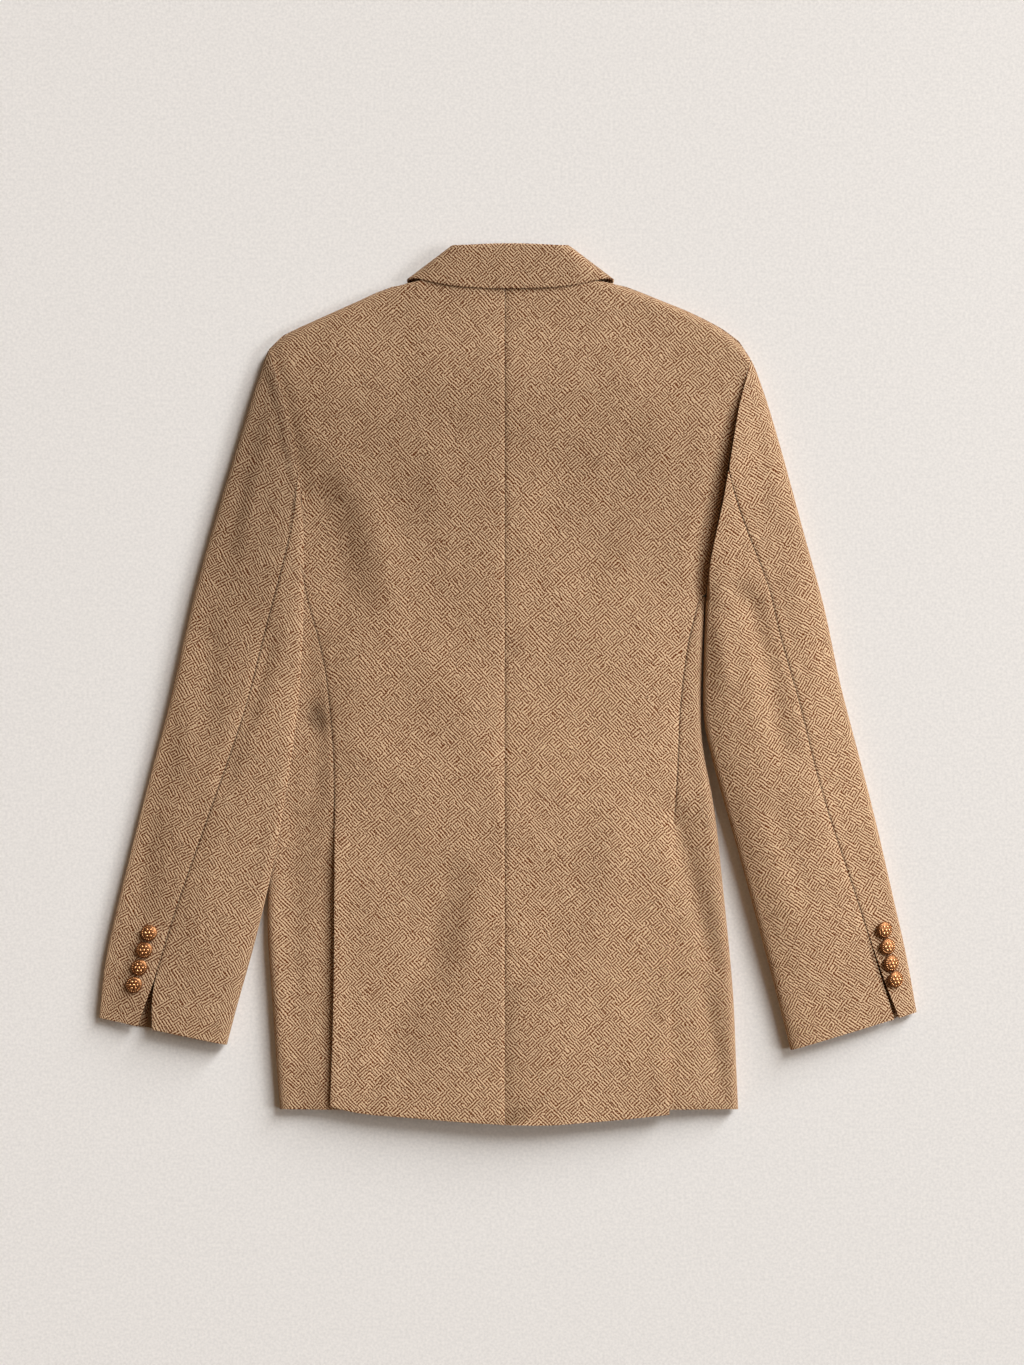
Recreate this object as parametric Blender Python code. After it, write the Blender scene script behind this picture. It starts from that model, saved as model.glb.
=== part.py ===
"""Double breasted wool blazer, laid face down with its sleeves beside the body.

Every cut piece is a closed wall of cloth with hollow space between the layers.  Sizes are in
millimetres until a mesh is made.  +Y points to the collar, +X to the wearer's right, +Z up, and
the cloth rests on Z = 0.
"""

import math
from collections import namedtuple

import bpy
import numpy as np

MM = 0.001

# ---------------------------------------------------------------- driving sizes
CLOTH = 1.8             # wall: wool cloth with its lining
SEAM_GAP = 0.3          # left between two pieces at a seam
LAYER = 2.7             # from one layer to the next that lies on it
CENTRE_BACK = -2.2      # the centre back seam
FRONT_CENTRE = 2.0      # the middle of the overlapping fronts
NECK_TOP = 16.2         # height of the back at the neck
BODY_TOP = 20.0         # height of the back in the middle
CROWN_REACH = 90.0      # the back rises to that height over this length
SIDE_REACH = 56.0       # and over this length from a side edge
ARMPIT_BLEND = 24.0     # or this one just above an armpit
SHOULDER_FOLD = 8.0     # height of the shoulder edge's middle
SHOULDER_ROLL = 9.0     # how far the shoulder edge rounds in
SIDE_ROLL = 8.0         # how far a side edge rounds in
TUCK_UNDER = 27.0       # the side body's width on the underside
HEM = -384.0            # level of the side hems

YOKE_ROLL_START = 0.30  # the yoke's edge is flat up to this share of its width
YOKE_ROLL_END = 0.44    # and rolls over the shoulder from this one
YOKE_TIP_START = 0.9    # and turns towards the armhole from this one
SHOULDER_LEAN = 0.316   # the shoulder's way in leans to the side by this share

VENT_TOP = -127.0
VENT_UNDERLAP = 32.0
VENT_FADE = 26.0        # the side body sinks under the back over this length and width
VENT_GAPE = 2.6         # how far the left vent stands open
VENT_GAPE_TOP = -140.0
VENT_GAPE_END = -370.0
VENT_GAPE_RISE = 50.0   # it opens over this length
VENT_GAPE_FALL = 90.0   # and closes over this one

OVERLAP = 60.0          # the fronts pass the middle by this
ROLL_TOP = 396.0        # the lapel's roll line, at the neck
ROLL_TOP_HALF = 51.5
BREAK_LEVEL = -20.0     # where the lapel starts to turn back

FRONT_BUTTON_DIAMETER = 20.0
CUFF_BUTTON_DIAMETER = 14.2
FRONT_BUTTON_HEIGHT = 5.4
CUFF_BUTTON_HEIGHT = 5.1
CUFF_BUTTON_CLEAR = 0.5 # from a cuff button's foot to the sleeve
BUTTON_LIFT = 5.8       # the fronts rise this far over their buttons
RAMP = 45.0             # width of a slope in a layer that passes over another
BREAK_RAMP = 45.0       # below the lapel's break
BUTTON_RAMP = 80.0      # and over the buttons
LAYER_MARGIN = 4.0      # a layer stays lifted this far past what it lies on
FRONT_MARGIN = 10.0     # and this far past the outermost front's edge

COLLAR_CORE = 9.5       # height of the middle of the folded collar
FALL_OUT = 9.5          # from that middle to the fall's outer face
STAND_OUT = 6.9         # and to the stand's outer face
COLLAR_FOLD = 2.2       # outer radius of the fold between them
COLLAR_MIDDLE = 2.7
COLLAR_SIDE = 54.3      # degrees from +X to the way that the collar's slanted sides face

# One side of the body, a row for each level.  edge: where the side body folds round.  seam: the
# side back seam, and the vent's edge below it.  fold: height of the folded edge.  shelf: how far
# in the cloth stays that low, under a sleeve.
SideRow = namedtuple("SideRow", "level edge seam fold shelf")
SIDE_LEFT = (
    SideRow(157.0, -190.0, -185.0, 9.0, 14.0),
    SideRow(111.0, -197.0, -185.7, 9.0, 15.0),
    SideRow(91.6, -198.8, -185.2, 9.0, 16.0),
    SideRow(70.2, -200.0, -179.1, 9.2, 17.0),
    SideRow(44.8, -201.0, -171.5, 9.4, 17.0),
    SideRow(13.6, -202.2, -164.4, 9.6, 16.0),
    SideRow(-15.8, -203.4, -160.7, 10.0, 15.0),
    SideRow(-64.4, -206.6, -156.6, 10.4, 12.0),
    SideRow(-126.9, -212.4, -155.6, 11.0, 6.0),
    SideRow(-176.0, -216.2, -155.7, 12.5, 0.0),
    SideRow(-215.0, -217.3, -155.9, 14.0, 0.0),
    SideRow(-283.0, -212.7, -156.6, 15.0, 0.0),
    SideRow(-336.0, -209.3, -158.0, 15.0, 0.0),
    SideRow(HEM, -205.7, -160.0, 14.0, 0.0),
)
SIDE_RIGHT = (
    SideRow(78.0, 178.8, 173.4, 16.0, 0.0),
    SideRow(60.0, 177.4, 168.8, 16.0, 0.0),
    SideRow(40.0, 176.5, 163.6, 16.0, 0.0),
    SideRow(1.4, 175.0, 158.0, 16.0, 0.0),
    SideRow(-25.7, 174.8, 155.4, 16.0, 0.0),
    SideRow(-56.7, 175.9, 154.2, 16.0, 0.0),
    SideRow(-86.0, 182.0, 152.9, 16.0, 0.0),
    SideRow(-126.9, 188.6, 150.2, 16.0, 0.0),
    SideRow(-158.4, 192.0, 149.0, 16.0, 0.0),
    SideRow(-194.8, 195.8, 148.3, 16.0, 0.0),
    SideRow(-238.5, 200.2, 147.6, 16.0, 0.0),
    SideRow(-283.0, 204.2, 147.0, 16.0, 0.0),
    SideRow(-336.0, 206.2, 146.5, 15.0, 0.0),
    SideRow(HEM, 208.4, 146.0, 14.0, 0.0),
)

# Outlines of the yoke, in plan.
Spot = namedtuple("Spot", "x y")
ARMHOLE_LEFT = (
    Spot(-215.6, 301.4),
    Spot(-208.0, 275.9),
    Spot(-199.5, 243.8),
    Spot(-195.2, 216.5),
    Spot(-190.4, 195.0),
    Spot(-186.3, 172.0),
    Spot(-185.0, 157.0),
)
ARMHOLE_RIGHT = (
    Spot(219.5, 293.0),
    Spot(213.2, 269.6),
    Spot(207.5, 248.0),
    Spot(203.0, 219.2),
    Spot(198.2, 191.6),
    Spot(193.1, 160.0),
    Spot(186.6, 132.8),
    Spot(182.2, 111.2),
    Spot(178.9, 78.0),
)
SHOULDER_LEFT = (
    Spot(CENTRE_BACK, 362.4),
    Spot(-45.0, 364.0),
    Spot(-76.0, 363.8),
    Spot(-91.0, 360.4),
    Spot(-105.1, 357.8),
    Spot(-138.2, 343.4),
    Spot(-176.8, 326.2),
    Spot(-208.5, 309.6),
    Spot(-215.6, 301.4),
)
SHOULDER_RIGHT = (
    Spot(CENTRE_BACK, 362.4),
    Spot(48.0, 364.0),
    Spot(80.0, 364.2),
    Spot(95.0, 360.6),
    Spot(107.0, 358.2),
    Spot(132.8, 347.9),
    Spot(177.8, 328.9),
    Spot(209.9, 307.9),
    Spot(219.5, 293.0),
)
HEM_LEFT = (Spot(CENTRE_BACK, -397.0), Spot(-46.0, -394.3), Spot(-92.0, -390.4),
            Spot(-133.0, -387.2), Spot(-160.0, -381.0))
HEM_RIGHT = (Spot(CENTRE_BACK, -397.0), Spot(38.0, -397.6), Spot(68.0, -395.4),
             Spot(98.0, -393.1), Spot(146.0, -388.3))

# A sleeve, a row for each section from the armhole to the cuff: where its outer and inner edges
# are, how high it stands, and how high its outer and inner edges' middles are.
SleeveRow = namedtuple("SleeveRow", "outer_x outer_y inner_x inner_y top outer_fold inner_fold")
SLEEVE_LEFT = (
    SleeveRow(-215.6, 301.4, -185.0, 157.0, 19.5, 8.0, 1.6),
    SleeveRow(-228.5, 266.0, -184.2, 146.0, 20.5, 8.0, 4.0),
    SleeveRow(-240.5, 226.8, -183.6, 132.0, 21.5, 8.5, 4.6),
    SleeveRow(-256.9, 173.7, -183.3, 108.0, 22.0, 8.5, 4.8),
    SleeveRow(-271.7, 122.9, -183.6, 72.0, 22.0, 8.5, 4.8),
    SleeveRow(-286.7, 68.0, -184.3, 36.0, 22.0, 8.5, 4.8),
    SleeveRow(-302.9, -9.5, -188.6, -22.0, 22.0, 8.5, 4.8),
    SleeveRow(-320.9, -76.0, -197.4, -88.0, 22.0, 8.5, 5.0),
    SleeveRow(-342.4, -160.7, -211.8, -172.0, 22.0, 8.0, 6.0),
    SleeveRow(-359.6, -229.1, -230.2, -243.0, 20.0, 7.5, 7.5),
    SleeveRow(-365.4, -266.0, -241.4, -282.0, 18.0, 7.0, 7.0),
    SleeveRow(-368.8, -301.6, -253.1, -326.0, 16.0, 6.5, 6.5),
)
SLEEVE_RIGHT = (
    SleeveRow(219.5, 293.0, 178.9, 78.0, 18.5, 8.0, 8.0),
    SleeveRow(232.0, 262.0, 178.6, 71.0, 19.0, 8.0, 8.0),
    SleeveRow(248.8, 205.7, 178.3, 61.0, 20.5, 8.5, 8.0),
    SleeveRow(259.7, 165.2, 177.9, 52.0, 21.5, 8.5, 8.0),
    SleeveRow(272.2, 118.4, 177.3, 35.0, 22.0, 8.5, 8.0),
    SleeveRow(285.3, 74.2, 176.5, 10.0, 22.0, 8.5, 8.0),
    SleeveRow(295.7, 21.2, 176.2, -20.0, 22.0, 8.5, 8.0),
    SleeveRow(303.8, -14.8, 178.0, -46.0, 22.0, 8.5, 8.0),
    SleeveRow(320.9, -77.9, 194.6, -106.0, 22.0, 8.5, 8.0),
    SleeveRow(335.8, -137.2, 211.5, -164.0, 22.0, 8.0, 8.0),
    SleeveRow(347.4, -190.3, 225.3, -217.0, 21.0, 7.5, 7.5),
    SleeveRow(359.1, -239.5, 238.8, -266.0, 19.0, 7.0, 7.0),
    SleeveRow(369.4, -296.6, 255.2, -330.8, 16.0, 6.5, 6.5),
)
# The elbow seam down the back of a sleeve: where it is, and how far it opens in the cuff's vent.
SeamRow = namedtuple("SeamRow", "level x opening")
ELBOW_LEFT = (
    SeamRow(176.0, -191.0, 0.0),
    SeamRow(150.0, -192.6, 0.0),
    SeamRow(122.9, -198.4, 0.0),
    SeamRow(93.2, -205.8, 0.0),
    SeamRow(41.9, -219.7, 0.0),
    SeamRow(-18.4, -234.0, 0.0),
    SeamRow(-97.2, -261.4, 0.0),
    SeamRow(-158.8, -283.1, 0.0),
    SeamRow(-216.1, -303.0, 0.0),
    SeamRow(-275.6, -321.0, 0.0),
    SeamRow(-298.9, -330.4, 9.8),
    SeamRow(-312.0, -334.4, 14.0),
)
ELBOW_RIGHT = (
    SeamRow(190.0, 199.1, 0.0),
    SeamRow(158.4, 208.2, 0.0),
    SeamRow(131.8, 218.2, 0.0),
    SeamRow(85.0, 236.5, 0.0),
    SeamRow(44.6, 245.0, 0.0),
    SeamRow(-10.3, 261.4, 0.0),
    SeamRow(-97.2, 282.7, 0.0),
    SeamRow(-160.7, 303.8, 0.0),
    SeamRow(-205.7, 318.8, 0.0),
    SeamRow(-245.8, 331.9, 0.9),
    SeamRow(-279.8, 343.9, 2.3),
    SeamRow(-306.0, 355.0, 4.6),
)

FOLD_OVERRUN = 0.267    # a soft fold fades out past its ends, in shares of its length
FOLD_FADE = 0.667

# The largest soft folds of the back: from, to, half width and height (a trough is negative).
FoldRow = namedtuple("FoldRow", "x0 y0 x1 y1 half height")
FOLDS = (
    FoldRow(-190.0, 262.0, -118.0, 40.0, 20.0, -2.4),
    FoldRow(-135.0, 180.0, -84.0, 30.0, 20.0, 1.4),
    FoldRow(-98.0, 214.0, -60.0, 80.0, 24.0, -1.4),
    FoldRow(70.0, 220.0, 20.0, 176.0, 26.0, -1.0),
    FoldRow(-52.0, -182.0, -98.0, -330.0, 24.0, -2.0),
    FoldRow(60.0, -100.0, 96.0, -150.0, 40.0, 1.4),
    FoldRow(178.0, -150.0, 196.0, -360.0, 14.0, -1.8),
    FoldRow(150.0, 196.0, 132.0, 60.0, 22.0, -1.2),
)

# The collar, a row for each section from the middle of the back, on the wearer's left, to its
# front end.  face: the angle its outer face looks at, 90 up and -90 down.
CollarRow = namedtuple("CollarRow", "face fold_x fold_y edge_x edge_y seam_x seam_y")
COLLAR = (
    CollarRow(90.0, 0.0, 396.6, 0.0, 355.7, 0.0, 362.9),
    CollarRow(90.0, -16.0, 396.5, -22.0, 356.0, -20.0, 364.2),
    CollarRow(90.0, -30.0, 395.8, -44.0, 357.2, -38.0, 366.0),
    CollarRow(82.0, -39.5, 394.4, -66.0, 359.8, -55.0, 367.4),
    CollarRow(60.0, -44.0, 391.8, -79.0, 360.8, -66.0, 367.8),
    CollarRow(30.0, -46.0, 389.6, -85.0, 359.0, -71.0, 366.4),
    CollarRow(0.0, -46.4, 388.4, -87.6, 357.4, -73.0, 365.0),
    CollarRow(-30.0, -46.0, 387.4, -88.8, 356.8, -73.0, 363.4),
    CollarRow(-60.0, -45.0, 383.0, -89.2, 354.0, -70.0, 360.0),
    CollarRow(-90.0, -43.0, 372.0, -88.0, 346.0, -62.0, 352.0),
    CollarRow(-90.0, -37.0, 350.0, -82.0, 326.0, -48.0, 340.0),
    CollarRow(-90.0, -31.0, 330.0, -78.0, 312.0, -36.0, 325.0),
)

# A lapel, a row for each line across it from the break to the gorge: its level on the roll line
# and its outer edge, for the wearer's left and measured from the middle of the fronts.
LapelRow = namedtuple("LapelRow", "roll_level edge_x edge_y")
LAPEL = (
    LapelRow(-12.0, 49.0, -20.0),
    LapelRow(20.0, 24.0, 2.0),
    LapelRow(80.0, -20.0, 52.0),
    LapelRow(150.0, -62.0, 120.0),
    LapelRow(220.0, -94.0, 200.0),
    LapelRow(280.0, -112.0, 272.0),
    LapelRow(322.0, -120.0, 322.0),
)
GORGE_DIP = 17.0        # the gorge dips this far between the roll line and the peak

# Buttons: where each one is and how far it leans to +X and to +Y, in degrees.
ButtonRow = namedtuple("ButtonRow", "x y lean_x lean_y")
CUFF_BUTTONS_LEFT = (
    ButtonRow(-322.7, -224.8, 0.0, 9.0),
    ButtonRow(-327.0, -239.9, -2.0, 3.0),
    ButtonRow(-331.5, -255.6, -3.0, 0.0),
    ButtonRow(-336.2, -271.2, -3.0, 0.0),
)
CUFF_BUTTONS_RIGHT = (
    ButtonRow(339.0, -222.0, 14.0, 0.0),
    ButtonRow(341.9, -237.0, 14.0, 0.0),
    ButtonRow(345.3, -252.0, 14.0, 0.0),
    ButtonRow(349.2, -266.6, 14.0, 0.0),
)
FRONT_BUTTON_LEVELS = (-48.0, -128.0, -208.0)
FRONT_BUTTON_SPREADS = (44.0, 40.0, 40.0)


# ---------------------------------------------------------------- curves and slopes
def ease(share):
    """From 0 to 1 with level ends."""
    t = min(max(share, 0.0), 1.0)
    return t * t * (3.0 - 2.0 * t)


def mix(a, b, share):
    return a + (b - a) * share


def rounded(share):
    """Height of a quarter circle at this share of its width."""
    t = 1.0 - min(max(share, 0.0), 1.0)
    return math.sqrt(1.0 - t * t)


def track(keys, values):
    """A smooth curve through values at rising or falling keys, straight past both ends."""
    keys = np.asarray(keys, dtype=float)
    values = np.asarray(values, dtype=float)
    if keys[0] > keys[-1]:
        keys = keys[::-1]
        values = values[::-1]
    slopes = np.gradient(values, keys, axis=0)

    def at(key):
        if key <= keys[0]:
            return values[0] + slopes[0] * (key - keys[0])
        if key >= keys[-1]:
            return values[-1] + slopes[-1] * (key - keys[-1])
        i = int(np.searchsorted(keys, key)) - 1
        step = keys[i + 1] - keys[i]
        t = (key - keys[i]) / step
        return ((2 * t**3 - 3 * t**2 + 1) * values[i]
                + (t**3 - 2 * t**2 + t) * step * slopes[i]
                + (3 * t**2 - 2 * t**3) * values[i + 1]
                + (t**3 - t**2) * step * slopes[i + 1])

    return at


def along(spots):
    """A smooth curve through spots, as a function of the share of its length."""
    spots = np.asarray(spots, dtype=float)
    steps = np.linalg.norm(np.diff(spots, axis=0), axis=1)
    lengths = np.concatenate(([0.0], np.cumsum(steps)))
    curve = track(lengths / lengths[-1], spots)
    curve.length = lengths[-1]
    return curve


def column(rows, name):
    return [getattr(row, name) for row in rows]


# ---------------------------------------------------------------- the body's two faces
class Side:
    """One half of the body, the wearer's left (sign -1) or right (sign +1)."""

    def __init__(self, sign, rows, armhole, shoulder, hem):
        levels = column(rows, "level")
        self.sign = sign
        self.armpit_level = levels[0]
        self.edge = track(levels, column(rows, "edge"))
        self.seam = track(levels, column(rows, "seam"))
        self.fold = track(levels, column(rows, "fold"))
        self.shelf = track(levels, column(rows, "shelf"))
        self.armhole = along(armhole)
        self.shoulder = along(shoulder)
        self.hem = along(hem)
        self.yoke_level = track([sign * spot.x for spot in shoulder], column(shoulder, "y"))

    def depth(self, x, y):
        """Distance in from the folded side edge, or from the armpit above it."""
        across = self.sign * (self.edge(min(y, self.armpit_level)) - x)
        above = max(y - self.armpit_level, 0.0)
        return math.hypot(across, above)

    def crown(self, x, y):
        """Height of the back before its edges are rounded."""
        level = min(y, self.armpit_level)
        below_yoke = self.yoke_level(self.sign * x) - y
        peak = mix(NECK_TOP, BODY_TOP, ease(below_yoke / CROWN_REACH))
        above = ease((y - self.armpit_level) / ARMPIT_BLEND)
        shelf = self.shelf(level) * (1.0 - above)
        share = ease((self.depth(x, y) - shelf) / mix(SIDE_REACH, ARMPIT_BLEND, above))
        return mix(self.fold(level), peak, share) + fold_height(x, y) * share

    def top(self, x, y):
        """Height of the back."""
        middle = 0.5 * self.fold(min(y, self.armpit_level))
        crown = self.crown(x, y)
        return middle + (crown - middle) * rounded(self.depth(x, y) / SIDE_ROLL)

    def bottom(self, x, y, lift):
        """Height of the underside, where lift is how far its layer rises off the ground."""
        middle = 0.5 * self.fold(min(y, self.armpit_level))
        return middle - (middle - lift) * rounded(self.depth(x, y) / SIDE_ROLL)


def fold_height(x, y):
    """Height that the soft folds add to the back."""
    height = 0.0
    for row in FOLDS:
        run = np.array((row.x1 - row.x0, row.y1 - row.y0))
        reach = np.array((x - row.x0, y - row.y0))
        share = float(reach @ run) / float(run @ run)
        nearest = reach - run * min(max(share, 0.0), 1.0)
        away = float(nearest @ nearest) / row.half**2
        start = ease((share + FOLD_OVERRUN) / FOLD_FADE)
        end = ease((1.0 + FOLD_OVERRUN - share) / FOLD_FADE)
        height += row.height * math.exp(-away) * start * end
    return height


LEFT = Side(-1, SIDE_LEFT, ARMHOLE_LEFT, SHOULDER_LEFT, HEM_LEFT)
RIGHT = Side(1, SIDE_RIGHT, ARMHOLE_RIGHT, SHOULDER_RIGHT, HEM_RIGHT)


# ---------------------------------------------------------------- walls of cloth
def material(name, colour, roughness, metallic=0.0):
    made = bpy.data.materials.new(name)
    made.use_nodes = True
    shader = made.node_tree.nodes["Principled BSDF"]
    shader.inputs["Base Color"].default_value = (*colour, 1.0)
    shader.inputs["Roughness"].default_value = roughness
    shader.inputs["Metallic"].default_value = metallic
    return made


def add_object(name, points, faces, finish):
    mesh = bpy.data.meshes.new(name)
    mesh.from_pydata([tuple(float(c) * MM for c in point) for point in points], [], faces)
    mesh.materials.append(finish)
    mesh.validate()
    made = bpy.data.objects.new(name, mesh)
    bpy.context.scene.collection.objects.link(made)
    return made


def normal_at(surface, u, v, step):
    """Unit normal of a surface, from short steps along it."""
    du = surface(u + step, v) - surface(u - step, v)
    dv = surface(u, v + step) - surface(u, v - step)
    cross = np.cross(du, dv)
    return cross / np.linalg.norm(cross)


def wall(name, surface, us, vs, inward, finish, floor=False, step=0.003):
    """A closed wall: the surface over us and vs, and the same moved in by the cloth.

    inward is +1 or -1, the sign of the normal that points into the cloth.  With floor, the cloth
    never reaches below the ground.
    """
    outer = []
    inner = []
    for v in vs:
        for u in us:
            point = surface(u, v)
            into = inward * normal_at(surface, u, v, step)
            within = point + into * CLOTH
            if floor:
                point = np.array((point[0], point[1], max(point[2], 0.0)))
            outer.append(point)
            inner.append(within)
    columns = len(us)
    rows = len(vs)
    count = columns * rows

    def face(a, b, c, d):
        return (a, b, c, d) if inward < 0 else (d, c, b, a)

    faces = []
    for j in range(rows - 1):
        for i in range(columns - 1):
            a = j * columns + i
            b = a + 1
            c = b + columns
            d = a + columns
            faces.append(face(a, b, c, d))
            faces.append(face(d + count, c + count, b + count, a + count))
    for i in range(columns - 1):
        low = i
        high = (rows - 1) * columns + i
        faces.append(face(low + count, low + 1 + count, low + 1, low))
        faces.append(face(high, high + 1, high + 1 + count, high + count))
    for j in range(rows - 1):
        first = j * columns
        last = first + columns - 1
        faces.append(face(first, first + columns, first + columns + count, first + count))
        faces.append(face(last + count, last + columns + count, last + columns, last))
    return add_object(name, outer + inner, faces, finish)


def patch(bottom, top, start, end):
    """A plan surface between four curves: bottom and top run along u, start and end along v."""
    corners = (start(0.0), end(0.0), start(1.0), end(1.0))

    def at(u, v):
        ruled_v = mix(bottom(u), top(u), v)
        ruled_u = mix(start(v), end(v), u)
        both = mix(mix(corners[0], corners[1], u), mix(corners[2], corners[3], u), v)
        return ruled_v + ruled_u - both

    return at


def chain(first, second, split):
    """Two curves run one after the other, the first up to split."""

    def at(share):
        if share <= split:
            return first(share / split)
        return second((share - split) / (1.0 - split))

    return at


def yoke_rolled(u):
    """0 where the yoke's edge is flat, at the neck, and 1 where it rolls over the shoulder."""
    return ease((u - YOKE_ROLL_START) / (YOKE_ROLL_END - YOKE_ROLL_START))


def yoke_landing(side, edge, u):
    """The spot in from the yoke's edge where the roll meets the flat of the panel."""
    inward = np.array((-SHOULDER_LEAN * side.sign * yoke_rolled(u), -1.0))
    tip = side.armhole(SHOULDER_ROLL / side.armhole.length) - side.shoulder(1.0)
    towards_tip = ease((u - YOKE_TIP_START) / (1.0 - YOKE_TIP_START))
    inward = mix(inward / np.linalg.norm(inward), tip / np.linalg.norm(tip), towards_tip)
    return edge + inward * SHOULDER_ROLL


def yoke_roll(side, edge, u, v, height):
    """A point of the rolled edge, v 1 where it leaves the flat and 2 at the shoulder seam."""
    turn = (2.0 - v) * math.pi / 2
    landing = yoke_landing(side, edge, u)
    x, y = mix(edge, landing, 1.0 - math.cos(turn))
    return np.array((x, y, mix(height(*landing), SHOULDER_FOLD, yoke_rolled(u) * (1.0 - math.sin(turn)))))


SEAM_SHARE = 0.74       # a panel's rows up to here run along its side seam, then up the armhole
SKIRT_SHARE = 0.38      # and of those, the rows below the top of the vent
SEAM_ROWS = np.concatenate((np.linspace(0.0, SKIRT_SHARE, 9),
                            np.linspace(SKIRT_SHARE, 1.0, 12)[1:]))
BREAK_ROW = 14          # the row that meets the lapel's break
ARMPIT_STEP = 0.003     # from the row at the armpit to the one that turns into the armhole
YOKE_ROWS = (1.34, 1.67, 2.0 - 0.5 * SEAM_GAP / (SHOULDER_ROLL * math.pi / 2))


def seam_level(share, low, armpit):
    """Level on a side seam, the same for the pieces that meet there."""
    if share <= SKIRT_SHARE:
        return mix(low, VENT_TOP, share / SKIRT_SHARE)
    return mix(VENT_TOP, armpit, (share - SKIRT_SHARE) / (1.0 - SKIRT_SHARE))


# ---------------------------------------------------------------- the back
def back_panel(name, side, finish):
    """From the centre back seam to the side back seam and armhole, vent edge included."""

    def side_seam(share):
        level = seam_level(share, side.hem(1.0)[1], side.armpit_level)
        return np.array((side.seam(level), level))

    def armhole_up(share):
        tip_gap = SHOULDER_ROLL / side.armhole.length
        return side.armhole(1.0 - share * (1.0 - tip_gap))

    def centre(share):
        low = side.hem(0.0)[1]
        high = side.shoulder(0.0)[1] - SHOULDER_ROLL
        return np.array((CENTRE_BACK, mix(low, high, share)))

    def flat_top(u):
        return yoke_landing(side, side.shoulder(u), u)

    plan = patch(side.hem, flat_top, centre, chain(side_seam, armhole_up, SEAM_SHARE))

    def surface(u, v):
        if v > 1.0:
            return yoke_roll(side, side.shoulder(u), u, v, side.top)
        x, y = plan(u, v)
        return np.array((x, y, side.top(x, y)))

    narrowest = abs(side.seam(VENT_TOP) - CENTRE_BACK)
    trim = 0.5 * SEAM_GAP / narrowest
    us = np.linspace(trim, 1.0 - trim, 10)
    armhole_rows = np.linspace(SEAM_SHARE, 1.0, 7)[1:]
    vs = [*SEAM_ROWS * SEAM_SHARE, SEAM_SHARE + ARMPIT_STEP, *armhole_rows, *YOKE_ROWS]
    return wall(name, surface, us, vs, -side.sign, finish)


# ---------------------------------------------------------------- the side bodies
def vent_drop(side, level):
    """How far the side body lies under the back's surface beside the vent."""
    sunk = ease((VENT_TOP + VENT_FADE - level) / VENT_FADE)
    open_vent = 0.0
    if side.sign < 0:
        opened = ease((VENT_GAPE_TOP - level) / VENT_GAPE_RISE)
        open_vent = VENT_GAPE * opened * ease((level - VENT_GAPE_END) / VENT_GAPE_FALL)
    return LAYER * sunk + open_vent


def side_panel(name, side, finish):
    """From the side back seam round the folded edge to the side front seam underneath."""

    quarter = SIDE_ROLL * math.pi / 2
    crowding = 1.5

    def half(reach, share):
        """Distance in from the edge and height of the rounding, a share of the way to reach."""
        turned = math.acos(1.0 - min(reach / SIDE_ROLL, 1.0))
        length = SIDE_ROLL * turned + max(reach - SIDE_ROLL, 0.0)
        gone = length * share**crowding
        if gone < quarter:
            turn = gone / SIDE_ROLL
            return SIDE_ROLL * (1.0 - math.cos(turn)), math.sin(turn)
        return gone - quarter + SIDE_ROLL, 1.0

    def surface(u, v):
        level = seam_level(v, HEM, side.armpit_level)
        edge = side.edge(level)
        middle = 0.5 * side.fold(level)
        if u <= 1.0:
            lap = VENT_UNDERLAP * ease((VENT_TOP - LAYER - level) / VENT_UNDERLAP)
            reach = side.sign * (edge - side.seam(level)) + lap - 0.5 * SEAM_GAP
            depth, rise = half(reach, 1.0 - u)
            x = edge - side.sign * depth
            crown = side.crown(x, level) - vent_drop(side, level) * ease(depth / VENT_FADE)
            return np.array((x, level, middle + (crown - middle) * rise))
        depth, rise = half(TUCK_UNDER - 0.5 * SEAM_GAP, u - 1.0)
        return np.array((edge - side.sign * depth, level, middle * (1.0 - rise)))

    us = [0.0, 0.1, 0.2, 0.32, 0.44, 0.56, 0.68, 0.79, 0.89, 1.0, 1.16, 1.32, 1.52, 1.76, 2.0]
    lap_rows = SKIRT_SHARE * np.array((0.91, 0.95))
    vs = np.sort(np.concatenate((SEAM_ROWS, lap_rows)))
    return wall(name, surface, us, vs, -side.sign, finish, floor=True, step=0.002)


# ---------------------------------------------------------------- the fronts and lapels
def roll_line(side, level):
    """The lapel's fold, from the neck to the break and straight down the front edge from there."""
    high = FRONT_CENTRE + side.sign * ROLL_TOP_HALF
    low = FRONT_CENTRE - side.sign * OVERLAP
    share = min(max((level - BREAK_LEVEL) / (ROLL_TOP - BREAK_LEVEL), 0.0), 1.0)
    return mix(low, high, share)


LAPEL_REACH = track(column(LAPEL, "edge_y"), column(LAPEL, "edge_x"))


def over_lapel(side, x, y):
    """1 over this side's lapel and collar end, easing to 0 past their outer edge."""
    level = min(max(y, LAPEL[0].edge_y), LAPEL[-1].edge_y)
    outer = FRONT_CENTRE - side.sign * LAPEL_REACH(level)
    past = side.sign * (x - outer)
    beside = 1.0 - ease((past - LAYER_MARGIN) / RAMP)
    return beside * ease((y - BREAK_LEVEL + BREAK_RAMP) / BREAK_RAMP)


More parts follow.
